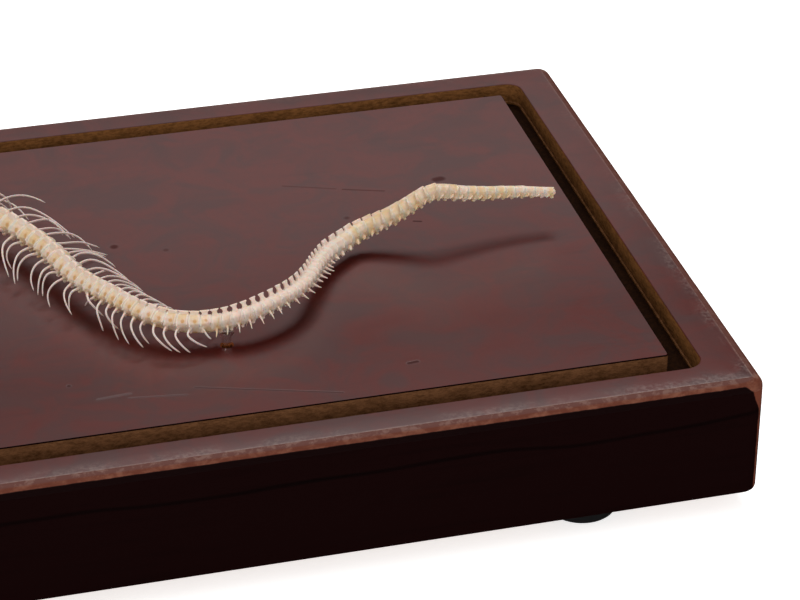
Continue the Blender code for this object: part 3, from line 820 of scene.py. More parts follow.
def bar(bm, stops, sides=8):
    # through stops of (place, half-width across, half-height)
    rings = []
    count = len(stops)
    for k, (place, across, high) in enumerate(stops):
        ahead = Vector(stops[min(k + 1, count - 1)][0]) - Vector(stops[max(k - 1, 0)][0])
        ahead.normalize()
        side = ahead.cross(Vector((0, 0, 1)))
        side = side.normalized() if side.length > 0.05 else Vector((1, 0, 0))
        top = side.cross(ahead)
        ring = []
        for n in range(sides):
            a = math.tau * (n + 0.5) / sides
            ring.append(bm.verts.new(Vector(place) + side * math.cos(a) * across + top * math.sin(a) * high))
        rings.append(ring)
    joinRings(bm, rings)


def blade(bm, outline, thick, rootThick):
    # a flat plate in the plane of y and z; outline is (y, z) from the front of its root, over its
    # top, to the back of its root
    low = min(z for _, z in outline)
    high = max(z for _, z in outline)
    sheets = []
    for side in (1, -1):
        sheet = []
        for y, z in outline:
            wide = lerp(rootThick, thick, (z - low) / (high - low)) / 2
            sheet.append(bm.verts.new((side * wide, y, z)))
        sheets.append(sheet)
    bm.faces.new(sheets[0])
    bm.faces.new(reversed(sheets[1]))
    for k in range(len(outline)):
        n = (k + 1) % len(outline)
        bm.faces.new((sheets[0][n], sheets[0][k], sheets[1][k], sheets[1][n]))


clay = {"voxel": 0.11, "quickVoxel": 0.17, "smoothing": 3, "keep": 0.22, "quickKeep": 0.5}


class Clay:
    # fuses the lumps of one bone into a single skin
    def __init__(self):
        self.thing = bpy.data.objects.new("clay", bpy.data.meshes.new("clay"))
        scene.collection.objects.link(self.thing)
        self.remesh = self.thing.modifiers.new("fuse", "REMESH")
        self.remesh.mode = "VOXEL"
        soften = self.thing.modifiers.new("soften", "SMOOTH")
        soften.factor = 0.5
        soften.iterations = clay["smoothing"]
        self.thin = self.thing.modifiers.new("thin", "DECIMATE")

    def fused(self, bm, fineness=1.0):
        # the fused skin's points and triangles, in the units of bm
        voxel, keep = (clay[k] for k in ((("voxel", "keep"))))
        self.remesh.voxel_size = voxel / fineness
        self.thin.ratio = keep
        bmesh.ops.recalc_face_normals(bm, faces=bm.faces)
        bm.to_mesh(self.thing.data)
        bm.free()
        self.thing.update_tag()
        made = evaluatedMesh(self.thing)
        made.calc_loop_triangles()
        points = np.empty(len(made.vertices) * 3, np.float32)
        made.vertices.foreach_get("co", points)
        faces = np.empty(len(made.loop_triangles) * 3, np.int32)
        made.loop_triangles.foreach_get("vertices", faces)
        bpy.data.meshes.remove(made)
        # without the flat pairs of triangles that the thinning can leave
        faces = faces.reshape(-1, 3)
        _, pair, uses = np.unique(np.sort(faces, axis=1), axis=0, return_inverse=True, return_counts=True)
        return points.reshape(-1, 3).astype(np.float64), faces[uses[pair.ravel()] == 1]

    def close(self):
        bpy.data.objects.remove(self.thing)


def hollowness(points, faces):
    # above 0 in pits and grooves, below 0 on ridges, about -1 to 1
    ends = np.concatenate([faces[:, [0, 1]], faces[:, [1, 2]], faces[:, [2, 0]]])
    ends = np.concatenate([ends, ends[:, ::-1]])
    count = np.bincount(ends[:, 0], minlength=len(points))[:, None].clip(1)

    def around(values):
        total = np.zeros((len(points), values.shape[1]))
        np.add.at(total, ends[:, 0], values[ends[:, 1]])
        return total / count

    corners = points[faces]
    across = np.cross(corners[:, 1] - corners[:, 0], corners[:, 2] - corners[:, 0])
    normals = np.zeros_like(points)
    for k in range(3):
        np.add.at(normals, faces[:, k], across)
    normals /= np.linalg.norm(normals, axis=1)[:, None].clip(1e-12)
    middle = around(around(around(points)))
    size = np.linalg.norm(points[ends[:, 0]] - points[ends[:, 1]], axis=1).mean()
    value = ((middle - points) * normals).sum(1) / size
    return around(value[:, None])[:, 0] * 1.6


class Gathered:
    # many bones' skins, put together as one piece with what its finish reads: how much pit stain and
    # painted shade, how bleached and how glued each place is
    names = ("hollow", "bleach", "glue")

    def __init__(self):
        self.points, self.faces = [], []
        self.values = {name: [] for name in self.names}
        self.count = 0

    def add(self, points, faces, **values):
        self.points.append(points)
        self.faces.append(faces + self.count)
        for name in self.names:
            self.values[name].append(np.zeros(len(points)) + values.get(name, 0.0))
        self.count += len(points)

    def piece(self, name, material):
        points = np.concatenate(self.points) * mm
        faces = np.concatenate(self.faces)
        mesh = bpy.data.meshes.new(name)
        mesh.vertices.add(len(points))
        mesh.vertices.foreach_set("co", points.astype(np.float32).ravel())
        mesh.loops.add(faces.size)
        mesh.loops.foreach_set("vertex_index", faces.astype(np.int32).ravel())
        mesh.polygons.add(len(faces))
        mesh.polygons.foreach_set("loop_start", np.arange(0, faces.size, 3, dtype=np.int32))
        mesh.update(calc_edges=True)
        for key, parts in self.values.items():
            attribute = mesh.attributes.new(key, "FLOAT", "POINT")
            attribute.data.foreach_set("value", np.concatenate(parts).astype(np.float32))
        mesh.validate()
        mesh.materials.append(material)
        mesh.shade_smooth()
        return bpy.data.objects.new(name, mesh)


# bone
boneColours = {
    "ivory": paint(234, 209, 189),
    "ochre": paint(229, 196, 152),
    # pit colour: the ochre stain of the pits, also used as painted shade in hollows, creases and undersides
    "pit": paint(205, 148, 72),
    "ridge": paint(238, 218, 206),
    "bleached": paint(232, 207, 190),
    "chalk": paint(228, 208, 200),
    "glue": paint(228, 194, 150),
}


def boneFinish():
    finish = Finish("bleachedBone", 0.5, Subsurface_Weight=0.25, Subsurface_Scale=0.0009)
    c = boneColours
    hollow, bleach, glue = (
        finish.node("ShaderNodeAttribute", {"attribute_name": name}, {}, "Fac") for name in Gathered.names
    )
    cloud = finish.noise(3.2, 4, 0.6)
    fine = finish.noise(0.45, 4, 0.65)
    colour = finish.mix(cloud.between(0.41, 0.62), c["ivory"], c["ochre"])
    colour = finish.mix(bleach.between(0.0, 0.5), colour, c["bleached"])
    colour = finish.mix(bleach.between(0.5, 1.0), colour, c["chalk"])
    # ridges painted paler; the pit colour gives the pits their stain and the hollows, creases and undersides
    # painted shade
    colour = finish.mix((0 - hollow).between(0.12, 0.6) * 0.6, colour, c["ridge"])
    colour = finish.mix(hollow.between(0.16, 0.95) * (0.5 + fine * 0.45), colour, c["pit"])
    patch = finish.noise(1.4, 4, 0.6)
    wet = (patch + glue * 0.22).between(0.60, 0.68)
    colour = finish.mix(wet * 0.45, colour, c["glue"])
    rough = 0.56 - wet * 0.2 + fine * 0.1
    normal = finish.bump(fine + finish.noise(0.16, 2, 0.6) * 0.4, 0.04, 0.5)
    return finish.wear(Base_Color=colour, Roughness=rough, Coat_Weight=wet * 0.5, Normal=normal)


boneMaterial = boneFinish()

# half sections of a trunk vertebra: place along it in its lengths, then across and up in its
# half-widths, from the middle of the roof down the flank to the keel
trunkSections = (
    (-0.60, (0, 0.73), (0.28, 0.66), (0.60, 0.38), (0.82, 0.08),
     (0.76, -0.18), (0.56, -0.48), (0.40, -0.80), (0, -0.94)),
    (-0.48, (0, 0.80), (0.34, 0.75), (0.75, 0.46), (1.03, 0.14),
     (0.93, -0.12), (0.66, -0.50), (0.44, -0.84), (0, -0.98)),
    (-0.36, (0, 0.75), (0.31, 0.70), (0.72, 0.41), (1.00, 0.06),
     (0.93, -0.20), (0.70, -0.52), (0.45, -0.84), (0, -0.98)),
    (-0.16, (0, 0.73), (0.29, 0.67), (0.62, 0.41), (0.88, 0.06),
     (0.80, -0.22), (0.63, -0.50), (0.42, -0.80), (0, -0.94)),
    (0.05, (0, 0.73), (0.29, 0.67), (0.60, 0.41), (0.80, 0.08),
     (0.73, -0.18), (0.57, -0.46), (0.38, -0.76), (0, -0.92)),
    (0.24, (0, 0.74), (0.30, 0.68), (0.62, 0.42), (0.84, 0.10),
     (0.75, -0.12), (0.54, -0.42), (0.38, -0.76), (0, -0.92)),
    (0.34, (0, 0.76), (0.32, 0.71), (0.68, 0.44), (0.92, 0.13),
     (0.80, -0.10), (0.52, -0.42), (0.38, -0.78), (0, -0.94)),
    (0.43, (0, 0.82), (0.35, 0.77), (0.77, 0.49), (1.07, 0.17),
     (0.94, -0.08), (0.58, -0.44), (0.42, -0.80), (0, -0.96)),
    (0.51, (0, 0.82), (0.35, 0.77), (0.77, 0.49), (1.05, 0.17),
     (0.92, -0.08), (0.56, -0.44), (0.42, -0.80), (0, -0.96)),
    (0.61, (0, 0.72), (0.28, 0.66), (0.60, 0.40), (0.84, 0.10),
     (0.74, -0.10), (0.46, -0.44), (0.36, -0.76), (0, -0.90)),
)
# of the neural spine, by millimetres from the tip: front and back of its root and of its top in
# lengths, and the heights of the roof and of its top in half-widths
spineTable = (
    (0, (-0.50, 0.50, -0.50, 0.50, 0.80, 0.86)), (5, (-0.50, 0.50, -0.50, 0.50, 0.85, 0.90)),
    (10, (-0.50, 0.50, -0.50, 0.50, 0.88, 0.95)), (20, (-0.50, 0.50, -0.50, 0.50, 0.78, 0.86)),
    (25.5, (-0.50, 0.50, -0.50, 0.50, 0.70, 0.77)), (27.5, (-0.50, 0.50, -0.50, 0.50, 0.90, 1.05)),
    (35, (-0.50, 0.50, -0.50, 0.50, 0.82, 1.07)), (40, (-0.44, 0.44, -0.46, 0.46, 0.79, 1.13)),
    (45, (-0.38, 0.40, -0.41, 0.42, 0.82, 1.24)), (50, (-0.31, 0.34, -0.33, 0.36, 0.88, 1.43)),
    (55, (-0.25, 0.28, -0.25, 0.31, 0.80, 1.40)), (58, (-0.18, 0.19, -0.13, 0.26, 0.74, 1.36)),
    (62, (-0.14, 0.14, -0.08, 0.24, 0.70, 1.33)), (65, (-0.16, 0.17, -0.12, 0.26, 0.66, 1.30)),
    (70, (-0.20, 0.22, -0.28, 0.32, 0.60, 1.30)), (75, (-0.20, 0.21, -0.30, 0.35, 0.56, 1.30)),
    (85, (-0.19, 0.20, -0.33, 0.37, 0.54, 1.18)), (90, (-0.20, 0.21, -0.40, 0.43, 0.58, 1.14)),
    (93.5, (-0.26, 0.28, -0.46, 0.47, 0.64, 1.12)), (96, (-0.40, 0.44, -0.49, 0.49, 0.76, 1.08)),
    (99.5, (-0.40, 0.44, -0.49, 0.49, 0.76, 1.07)), (101, (-0.28, 0.34, -0.47, 0.48, 0.64, 1.06)),
    (103, (-0.38, 0.42, -0.48, 0.49, 0.74, 1.06)), (105.5, (-0.30, 0.37, -0.47, 0.48, 0.66, 1.06)),
    (108, (-0.38, 0.44, -0.47, 0.49, 0.75, 1.05)), (112, (-0.34, 0.42, -0.40, 0.46, 0.74, 1.06)),
    (470, (-0.34, 0.42, -0.40, 0.46, 0.74, 1.06)),
)


def neuralSpine(bm, i, vary):
    w, l = halfWidth(i), pitches[i]
    fromTip = fromTipOf(i)
    front, back, topFront, topBack, roof, spine = reading(spineTable, fromTip)
    trunkness = ease(95, 112, fromTip)
    top = spine * w + vary * lerp(0.03, 0.09, trunkness)
    inward = lerp(-0.01, 0.15, trunkness)
    halves = []
    for end, root, edge, waist, shoulder, cut, uneven in (
        (-0.50, front, topFront, 0.42, 0.72, 0.09, 0.0), (0.50, back, topBack, 0.40, 0.70, 0.10, 0.03)
    ):
        rounded = edge + inward if end < 0 else edge - inward
        halves.append([
            (end * l, (roof - 0.16) * w),
            (lerp(end, root, 0.45) * l, lerp(roof * w, top, 0.02)),
            (lerp(end, root, 0.85) * l, lerp(roof * w, top, 0.16)),
            (root * l, lerp(roof * w, top, waist)),
            (lerp(root, edge, 0.25) * l, lerp(roof * w, top, shoulder)),
            (edge * l, top - lerp(cut, 0.22, trunkness) * w),
            (rounded * l, top + vary * uneven),
        ])
    blade(bm, halves[0] + halves[1][::-1], 0.15 * w + 0.05, lerp(0.44, 0.72, trunkness) * w)
    return roof


def fromTipOf(i):
    return (jointPlaces[i] + jointPlaces[i + 1]) / 2


def trunkVertebra(bm, i, vary):
    # gives back where its pit lies and how wide that is
    w, l = halfWidth(i), pitches[i]

    def at(across, along, high):
        return across * w, along * l, high * w

    roof = neuralSpine(bm, i, vary)
    lift = roof - 0.75
    sections = []
    for y, *half in trunkSections:
        raised = [(x * w, (z + lift * max(z - 0.3, 0) / 0.45) * w) for x, z in half]
        sections.append((y * l, raised))
    loft(bm, sections)
    lump(bm, at(0, 0.52, -0.30), (0.25 * w, 0.24 * w, 0.24 * w))
    for side in (1, -1):
        lump(bm, at(side * 0.84, -0.40, 0.02), at(0.24, 0.15, 0.13), (0, side * 25, 0))
        bar(bm, [
            (at(side * 0.80, -0.41, -0.03), 0.11 * w, 0.10 * w),
            (at(side * 1.10, -0.43, -0.13), 0.05 * w, 0.05 * w),
        ], 6)
        # two knobs for the rib
        lump(bm, at(side * 0.74, -0.28, -0.38), at(0.22, 0.16, 0.17))
        lump(bm, at(side * 0.68, -0.29, -0.66), at(0.22, 0.15, 0.20))
    deep = lerp(1.0, 0.92, ease(0.12, 0.4, i / bodyCount))
    blade(bm, [
        (0.42 * l, -0.60 * w),
        (0.46 * l, -deep * w * 1.02),
        (0.30 * l, -deep * w * 1.08),
        (-0.10 * l, -0.96 * w),
        (-0.40 * l, -0.92 * w),
        (-0.44 * l, -0.60 * w),
    ], 0.14 * w, 0.18 * w)
    return at(0.70, 0.06, 0.30), 0.16 * w


# by millimetres from the tip, in half-widths: how far the flank stands out at the joints and at
# the waist, how deep the underside lies and how wide it is
tailTable = (
    (0, (0.74, 0.68, 1.12, 0.50)), (26, (0.80, 0.70, 1.26, 0.56)), (28, (0.86, 0.70, 0.98, 0.46)),
    (50, (0.90, 0.72, 0.96, 0.42)), (58, (0.91, 0.72, 0.88, 0.42)), (64, (0.91, 0.72, 0.78, 0.40)),
    (76, (0.92, 0.72, 0.78, 0.40)), (84, (0.93, 0.72, 0.88, 0.40)), (90, (0.94, 0.72, 0.92, 0.40)),
)
# of the side processes: tip's place across, below and along, and half-thickness at root and tip
processTable = (
    (0, (0.76, 1.16, -0.42, 0.12, 0.05)), (27, (0.84, 1.16, -0.42, 0.14, 0.05)),
    (29, (0.95, 0.98, -0.34, 0.18, 0.05)), (50, (0.90, 0.94, -0.30, 0.14, 0.05)),
    (58, (0.92, 0.96, -0.02, 0.14, 0.06)), (59.4, (1.30, 1.34, 0.02, 0.12, 0.08)),
    (62, (1.26, 1.32, 0.0, 0.11, 0.07)), (66, (1.14, 1.14, -0.06, 0.10, 0.055)),
    (72, (1.12, 1.12, -0.20, 0.085, 0.040)), (77, (1.14, 1.16, -0.24, 0.085, 0.040)),
    (80, (1.30, 1.36, -0.26, 0.085, 0.040)), (88, (1.30, 1.34, -0.30, 0.085, 0.040)),
    (93, (1.15, 1.15, -0.25, 0.10, 0.05)),
)


# rings of a tail vertebra: place along it in its lengths, and 0 at the waist to 1 at the joints
tailRings = (
    (-0.60, 0.4), (-0.48, 0.85), (-0.36, 1.0), (-0.12, 0.3), (0.06, 0.0), (0.24, 0.3), (0.41, 1.0),
    (0.51, 1.0), (0.61, 0.4),
)


def tailVertebra(bm, i, vary):
    # gives back where its pit lies and how wide that is
    w, l = halfWidth(i), pitches[i]

    def at(across, along, high):
        return across * w, along * l, high * w

    fromTip = fromTipOf(i)
    roof = neuralSpine(bm, i, vary)
    joint, waist, deep, under = reading(tailTable, fromTip)
    sections = []
    last = i == len(pitches) - 1
    for y, share in tailRings:
        out = lerp(waist, joint, share)
        drop = 0.06 * (1 - share)
        half = (
            (0, roof - drop * 0.6),
            (0.27, roof - 0.05 - drop * 0.6),
            (out * 0.76, lerp(0.02, roof, 0.62)),
            (out, 0.06),
            (out * 0.97, deep * -0.27),
            (out * 0.80, deep * -0.60),
            (under, drop - deep * 0.92),
            (0, drop - deep),
        )
        slim = 1 - 0.5 * ease(0.0, 0.6, y) * last
        sections.append((y * l, [(x * w * slim, z * w * slim) for x, z in half]))
    loft(bm, sections)
    if last:
        # the tail ends in a broken splinter
        bar(bm, [(at(0.1, 0.3, 0.1), 0.3 * w, 0.35 * w), (at(0.2, 0.62, -0.3), 0.1 * w, 0.1 * w)])
    across, below, ahead, root, tip = reading(processTable, fromTip)
    across += vary * 0.03
    for side in (1, -1):
        # a pale ridge slants down the flank at each joint
        bar(bm, [
            (at(side * 0.30, 0.50, roof - 0.04), 0.07 * w, 0.08 * w),
            (at(side * joint * 0.80, 0.46, lerp(0.02, roof, 0.6)), 0.08 * w, 0.09 * w),
            (at(side * joint * 1.0, 0.36, 0.04), 0.08 * w, 0.09 * w),
            (at(side * joint * 0.92, 0.16, -0.34), 0.05 * w, 0.06 * w),
        ], 6)
        reach = 1 + vary * 0.05 * side
        halfway = at(side * lerp(0.66, across, 0.4), lerp(-0.08, ahead, 0.4), -lerp(0.74, below, 0.4))
        bar(bm, [
            (at(side * 0.55, -0.08, -0.60), root * l * 1.6, 0.20 * w),
            (halfway, root * l, 0.10 * w),
            (at(side * across * reach, ahead, -below * reach), tip * l, 0.05 * w),
        ])
        # paired thin processes under the body
        bar(bm, [
            (at(side * 0.22, 0.20, -0.60), 0.10 * w, 0.30 * l),
            (at(side * 0.26, 0.28, -(deep + 0.20)), 0.07 * w, 0.16 * l),
        ])
    return at(0.72, 0.02, -0.40), 0.30 * w


def boneLengths():
    # names of the backbone's pieces, the vertebrae in each and the CAD nodes that each stands for
    neck = backbone["neckCount"]
    yield "neck", range(0, neck), {1: "neck", -1: "neck"}
    for part, start, sides in (("trunk", neck, {1: "_left", -1: "_right"}), ("tail", bodyCount, {1: ""})):
        count = backbone[part + "Lengths"]
        cuts = [start + round(backbone[part + "Count"] * k / count) for k in range(count + 1)]
        for k, (first, last) in enumerate(zip(cuts, cuts[1:]), 1):
            name = f"{part}_{k}"
            yield name, range(first, last), {side: name + ending for side, ending in sides.items()}


# how deeply each place of a vertebra is darkened: the pits by their stain, the underside and the waist by
# painted shade; below 0 it is paler
stainAndShade = {
    "trunkPit": 1.5,
    "tailPit": 0.2,
    "trunkUnder": 0.42,
    "tailUnder": 0.28,
    "waist": 0.20,
    "jointRidge": -0.7,
    "spineTop": -0.5,
    "ribKnob": -0.55,
    "bleach": 0.5,
}


def stainAndShadeVertebra(points, faces, i, pit, wide):
    # how much each place is darkened, above 0: the pits by their stain, the hollows, creases, underside and
    # waist by painted shade; below 0 it is paler
    part = "trunk" if i < bodyCount else "tail"
    mirrored = np.abs(points * (1, 0, 0)) + points * (0, 1, 1)

    def near(place, reach):
        return np.exp(-((np.linalg.norm(mirrored - np.array(place), axis=1) / reach) ** 2))

    hollow = hollowness(points, faces) + stainAndShade[part + "Pit"] * near(pit, wide)
    high = points[:, 2] / halfWidth(i)
    fromJoint = np.abs(points[:, 1] / pitches[i] - 0.48)
    fromJoint = np.minimum(fromJoint, 1 - fromJoint)
    # painted shade on the underside and in the waist between the joints
    hollow += stainAndShade[part + "Under"] * ((-high - 0.35) / 0.4).clip(0, 1)
    hollow += stainAndShade["waist"] * ((fromJoint - 0.16) / 0.2).clip(0, 1) * ((0.75 - high) / 0.3).clip(0, 1)
    hollow += stainAndShade["jointRidge"] * np.exp(-((fromJoint / 0.13) ** 2)) * ((high + 0.5) / 0.3).clip(0, 1)
    if part == "trunk":
        hollow += stainAndShade["spineTop"] * ((high - 0.6) / 0.25).clip(0, 1)
        knob = (0.76 * halfWidth(i), -0.29 * pitches[i], -0.52 * halfWidth(i))
        hollow += stainAndShade["ribKnob"] * near(knob, 0.34 * halfWidth(i))
    return hollow


def makeVertebrae(kneading, material):
    chance = random.Random(backbone["seed"])
    for name, members, nodes in boneLengths():
        gathered = Gathered()
        for i in members:
            bm = bmesh.new()
            pit, wide = (trunkVertebra if i < bodyCount else tailVertebra)(bm, i, chance.uniform(-1, 1))
            points, faces = kneading.fused(bm)
            hollow = stainAndShadeVertebra(points, faces, i, pit, wide)
            fromTip = fromTipOf(i)
            bleach = stainAndShade["bleach"] * ease(46, 54, fromTip) * (1 - ease(84, 96, fromTip))
            glue = ease(18, 24, fromTip) * (1 - ease(34, 54, fromTip))
            middle, left, back, up = line.frame(fromTip)
            sway = Euler([math.radians(chance.gauss(0, backbone["sway"])) for _ in range(3)]).to_matrix()
            turn = np.array(Matrix((left, back, up)).transposed() @ sway)
            middle = middle - up * float(np.interp(fromTip, *zip(*sinking)))
            gathered.add(points @ turn.T + np.array(middle), faces, hollow=hollow, bleach=bleach, glue=glue)
        finishPiece(gathered.piece(name + "_vertebrae", material), "bone", *sorted(set(nodes.values())))
        report(name + " vertebrae")


# ribs
ribSize = {
    "head": (0.72, -0.55),
    "fromFront": 0.25,
    "sides": 8,
    "steps": 18,
    "clearance": 0.3,
    "bend": 2.3,
    "firstRib": 2,
    "neckReach": 3.2,
    "trunkReach": 8.6,
    "loinShortening": 0.5,
    "rearShortening": 3.8,
    "flatness": 0.85,
    "seed": 11,
}
# half-thickness in millimetres along a rib, from its head to its tip
ribTable = (
    (0.0, (0.12,)), (0.015, (0.34,)), (0.05, (0.42,)), (0.09, (0.36,)), (0.15, (0.27,)), (0.35, (0.25,)),
    (0.7, (0.21,)), (0.93, (0.16,)), (1.0, (0.07,)),
)
# ribs that lie their own way: where they pass, in millimetres out from the head, towards the tail
# and up
nearRibs = {
    97: ((3.3, 1.2, -0.2), (5.6, 4.4, -1.7), (6.6, 7.3, -3.7)),
    98: ((2.3, -0.6, -0.2), (4.1, 0.2, -1.7), (4.3, 2.0, -3.7)),
    99: ((2.9, 0.3, -0.1), (5.6, 2.3, -1.7), (6.9, 4.6, -3.7)),
    100: ((2.3, -0.6, -0.1), (4.5, -0.4, -1.7), (5.8, 1.3, -3.6)),
    101: ((2.5, 0.7, -0.1), (4.5, 2.2, -1.6), (5.0, 4.1, -3.5)),
    102: ((2.3, 0.7, -0.1), (4.0, 2.0, -1.5), (5.0, 3.3, -3.4)),
    103: ((1.9, -0.7, -0.1), (3.5, 0.0, -1.5), (4.4, 1.4, -3.3)),
    104: ((2.5, 0.4, -0.1), (4.5, 1.1, -1.4), (5.3, 3.1, -3.2)),
    105: ((2.7, 1.5, -0.1), (3.8, 3.5, -1.4), (3.8, 5.4, -3.1)),
    106: ((1.8, -0.1, -0.1), (3.0, 0.4, -1.4), (3.5, 1.1, -3.1)),
    107: ((1.7, 2.6, -0.1), (1.3, 4.0, -1.4), (0.2, 4.8, -3.2)),
    108: ((0.9, -0.1, -0.1), (0.6, -1.7, -1.5), (0.2, -3.2, -3.2)),
    109: ((2.5, 1.1, -0.2), (3.4, 2.6, -1.7), (3.5, 3.6, -3.8)),
    110: ((2.4, 1.4, -0.2), (2.5, 2.7, -1.7), (1.1, 3.2, -3.8)),
    111: ((2.6, 1.2, -0.1), (3.8, 2.8, -1.7), (3.9, 4.0, -3.7)),
    112: ((2.8, 1.4, -0.1), (4.0, 3.0, -1.6), (4.0, 4.4, -3.5)),
    113: ((2.9, 1.5, -0.1), (4.0, 3.4, -1.5), (3.7, 4.9, -3.3)),
    114: ((2.2, 0.5, -0.1), (2.9, 1.5, -1.4), (2.4, 2.4, -3.1)),
    115: ((3.0, 1.2, -0.1), (3.9, 3.2, -1.3), (3.3, 5.0, -3.0)),
    116: ((2.9, 0.5, 0.0), (4.1, 2.1, -1.3), (3.9, 3.9, -2.8)),
    117: ((2.8, 0.0, 0.0), (4.1, 1.4, -1.2), (4.2, 2.9, -2.6)),
    118: ((2.4, -0.3, 0.0), (3.0, 1.3, -1.2), (2.3, 3.1, -2.6)),
    119: ((0.7, 0.4, -0.4), (1.2, 0.9, -1.0), (1.5, 1.5, -1.5)),
}
farRibs = {
    90: ((1.5, 3.7, -0.1), (4.5, 6.5, -1.5), (5.0, 10.6, -3.2)),
    91: ((3.1, 2.8, -0.1), (5.9, 6.5, -1.4), (5.5, 11.9, -3.2)),
    93: ((4.9, -1.3, 0.1), (9.6, -0.5, -0.7), (11.5, 3.6, -1.6)),
    94: ((5.7, 0.7, -0.2), (8.3, 6.1, -1.9), (9.0, 12.6, -4.1)),
    95: ((4.5, 0.8, -0.2), (7.7, 4.1, -1.9), (8.3, 9.1, -4.1)),
    96: ((3.5, 0.3, -0.2), (8.0, 0.1, -1.9), (8.2, 3.2, -4.1)),
    97: ((2.8, 0.8, -0.2), (6.8, 0.6, -1.9), (8.5, 2.2, -4.1)),
    98: ((3.8, 0.7, -0.2), (7.9, 1.8, -1.9), (9.0, 5.5, -4.1)),
    99: ((2.6, 1.9, -0.2), (7.3, 1.4, -1.9), (10.8, 2.4, -4.0)),
    100: ((2.8, 1.6, -0.2), (6.7, 2.0, -1.8), (10.6, 2.4, -4.0)),
    101: ((2.9, -0.2, -0.2), (6.7, -0.7, -1.8), (10.0, -0.6, -3.9)),
    102: ((3.9, -2.0, -0.2), (7.5, -1.3, -1.7), (9.6, 1.2, -3.7)),
    103: ((4.3, -1.3, -0.1), (7.4, 1.3, -1.7), (9.3, 4.9, -3.6)),
    104: ((4.1, 0.0, -0.1), (7.2, 3.0, -1.6), (9.3, 6.7, -3.5)),
    105: ((2.8, -0.7, -0.1), (6.6, -1.9, -1.6), (8.2, -0.7, -3.5)),
    106: ((3.7, -0.5, -0.1), (7.0, 0.6, -1.6), (8.8, 3.0, -3.5)),
    107: ((3.4, -0.5, -0.1), (6.2, 0.7, -1.4), (7.9, 3.0, -3.0)),
    108: ((3.1, -0.5, -0.1), (5.6, 0.8, -1.4), (7.4, 2.7, -3.1)),
    109: ((3.3, -0.5, -0.1), (5.4, 1.4, -1.4), (7.0, 3.6, -3.1)),
    110: ((3.4, -0.7, -0.1), (5.4, 1.3, -1.4), (7.1, 3.3, -3.0)),
    111: ((3.4, -0.7, 0.0), (5.3, 1.6, -1.3), (6.6, 4.1, -2.9)),
    112: ((2.8, -0.8, 0.0), (5.3, -0.1, -1.3), (6.9, 1.1, -2.8)),
    113: ((2.6, -0.2, 0.0), (4.9, 0.5, -1.2), (6.3, 1.8, -2.6)),
}


def ribReach(i):
    if i < ribSize["firstRib"]:
        return 0
    t = i / (bodyCount - 1)
    reach = lerp(ribSize["neckReach"], ribSize["trunkReach"], ease(0, 0.3, t))
    loin = ribSize["loinShortening"] * ease(0.6, 0.9, t)
    return reach - loin - ribSize["rearShortening"] * ease(0.82, 0.99, t)


def ribPath(i, side, chance):
    # points along one rib, from its head to its tip
    w = halfWidth(i)
    middle, left, back, up = line.frame(jointPlaces[i] - ribSize["fromFront"] * pitches[i])
    across, above = ribSize["head"]
    head = middle + left * side * across * w + up * above * w
    own = (nearRibs if side > 0 else farRibs).get(i)
    level = Vector((back.x, back.y, 0)).normalized()
    out = level.cross(Vector((0, 0, 1))) * side
    if own:
        stops = [head] + [head + out * a + level * b + Vector((0, 0, c)) for a, b, c in own]
    else:
        reach = ribReach(i) * (1 + chance.uniform(-0.06, 0.05))
        drop = min(middle.z - board["top"] - ribSize["clearance"] - 0.5, 0.95 * reach)
        lean = chance.uniform(-0.9, 0.9)
        swing = ribSize["bend"] + chance.uniform(-0.7, 0.7)
        stops = [
            head,
            middle + out * 0.62 * reach + level * lean * 0.3,
            middle + out * 1.02 * reach - up * 0.38 * drop + level * (0.45 * swing + lean * 0.7),
            middle + out * (0.98 + chance.uniform(-0.06, 0.06)) * reach - up * drop + level * (swing + lean),
        ]
    knots = np.array(stops)
    places = placesAlong(knots, 0.5)
    share = np.linspace(0, 1, ribSize["steps"]) ** 1.25
    path = Line.through(places, knots, share * places[-1])
    path[:, 2] = path[:, 2].clip(board["top"] + ribSize["clearance"])
    return path, share


def tube(path, radii, sides, flatness=1.0):
    # a closed skin round a path, flattened by that share across its level side
    ways = np.gradient(path, axis=0)
    ways /= np.linalg.norm(ways, axis=1)[:, None]
    level = np.cross(ways, (0, 0, 1))
    level /= np.linalg.norm(level, axis=1)[:, None].clip(1e-6)
    top = np.cross(level, ways)
    angles = np.linspace(0, math.tau, sides, endpoint=False)
    rings = path[:, None] + radii[:, None, None] * (
        level[:, None] * np.cos(angles)[:, None] * flatness + top[:, None] * np.sin(angles)[:, None]
    )
    count = len(path)
    faces = []
    for a, b, c, d in ringFaces(count, sides):
        faces += [(a, b, c), (a, c, d)]
    end = (count - 1) * sides
    for k in range(1, sides - 1):
        faces += [(0, k + 1, k), (end, end + k, end + k + 1)]
    return rings.reshape(-1, 3), np.array(faces)[:, ::-1]


def makeRibs(material):
    chance = random.Random(ribSize["seed"])
    for name, members, nodes in boneLengths():
        for side, node in nodes.items():
            gathered = Gathered()
            for i in members:
                if not ribReach(i) or i >= bodyCount:
                    continue
                path, share = ribPath(i, side, chance)
                thick = 0.55 + 0.45 * halfWidth(i) / 2.4
                radii = np.array([reading(ribTable, s)[0] for s in share]) * thick
                radii *= 1 + chance.uniform(-0.06, 0.08)
                points, faces = tube(path, radii, ribSize["sides"], ribSize["flatness"])
                grown = np.repeat(share, ribSize["sides"])
                bleach = 0.35 + 0.65 * np.clip(grown * 4, 0, 1)
                # painted shade at the root of the rib, where it meets its vertebra
                hollow = 0.45 * np.exp(-((grown - 0.10) / 0.05) ** 2)
                gathered.add(points, faces, bleach=bleach, hollow=hollow)
            if gathered.count:
                sideName = "left" if side > 0 else "right"
                finishPiece(gathered.piece(f"{name}_ribs_{sideName}", material), "bone", node)
    report("ribs")


kneading = Clay()
makeVertebrae(kneading, boneMaterial)
makeRibs(boneMaterial)

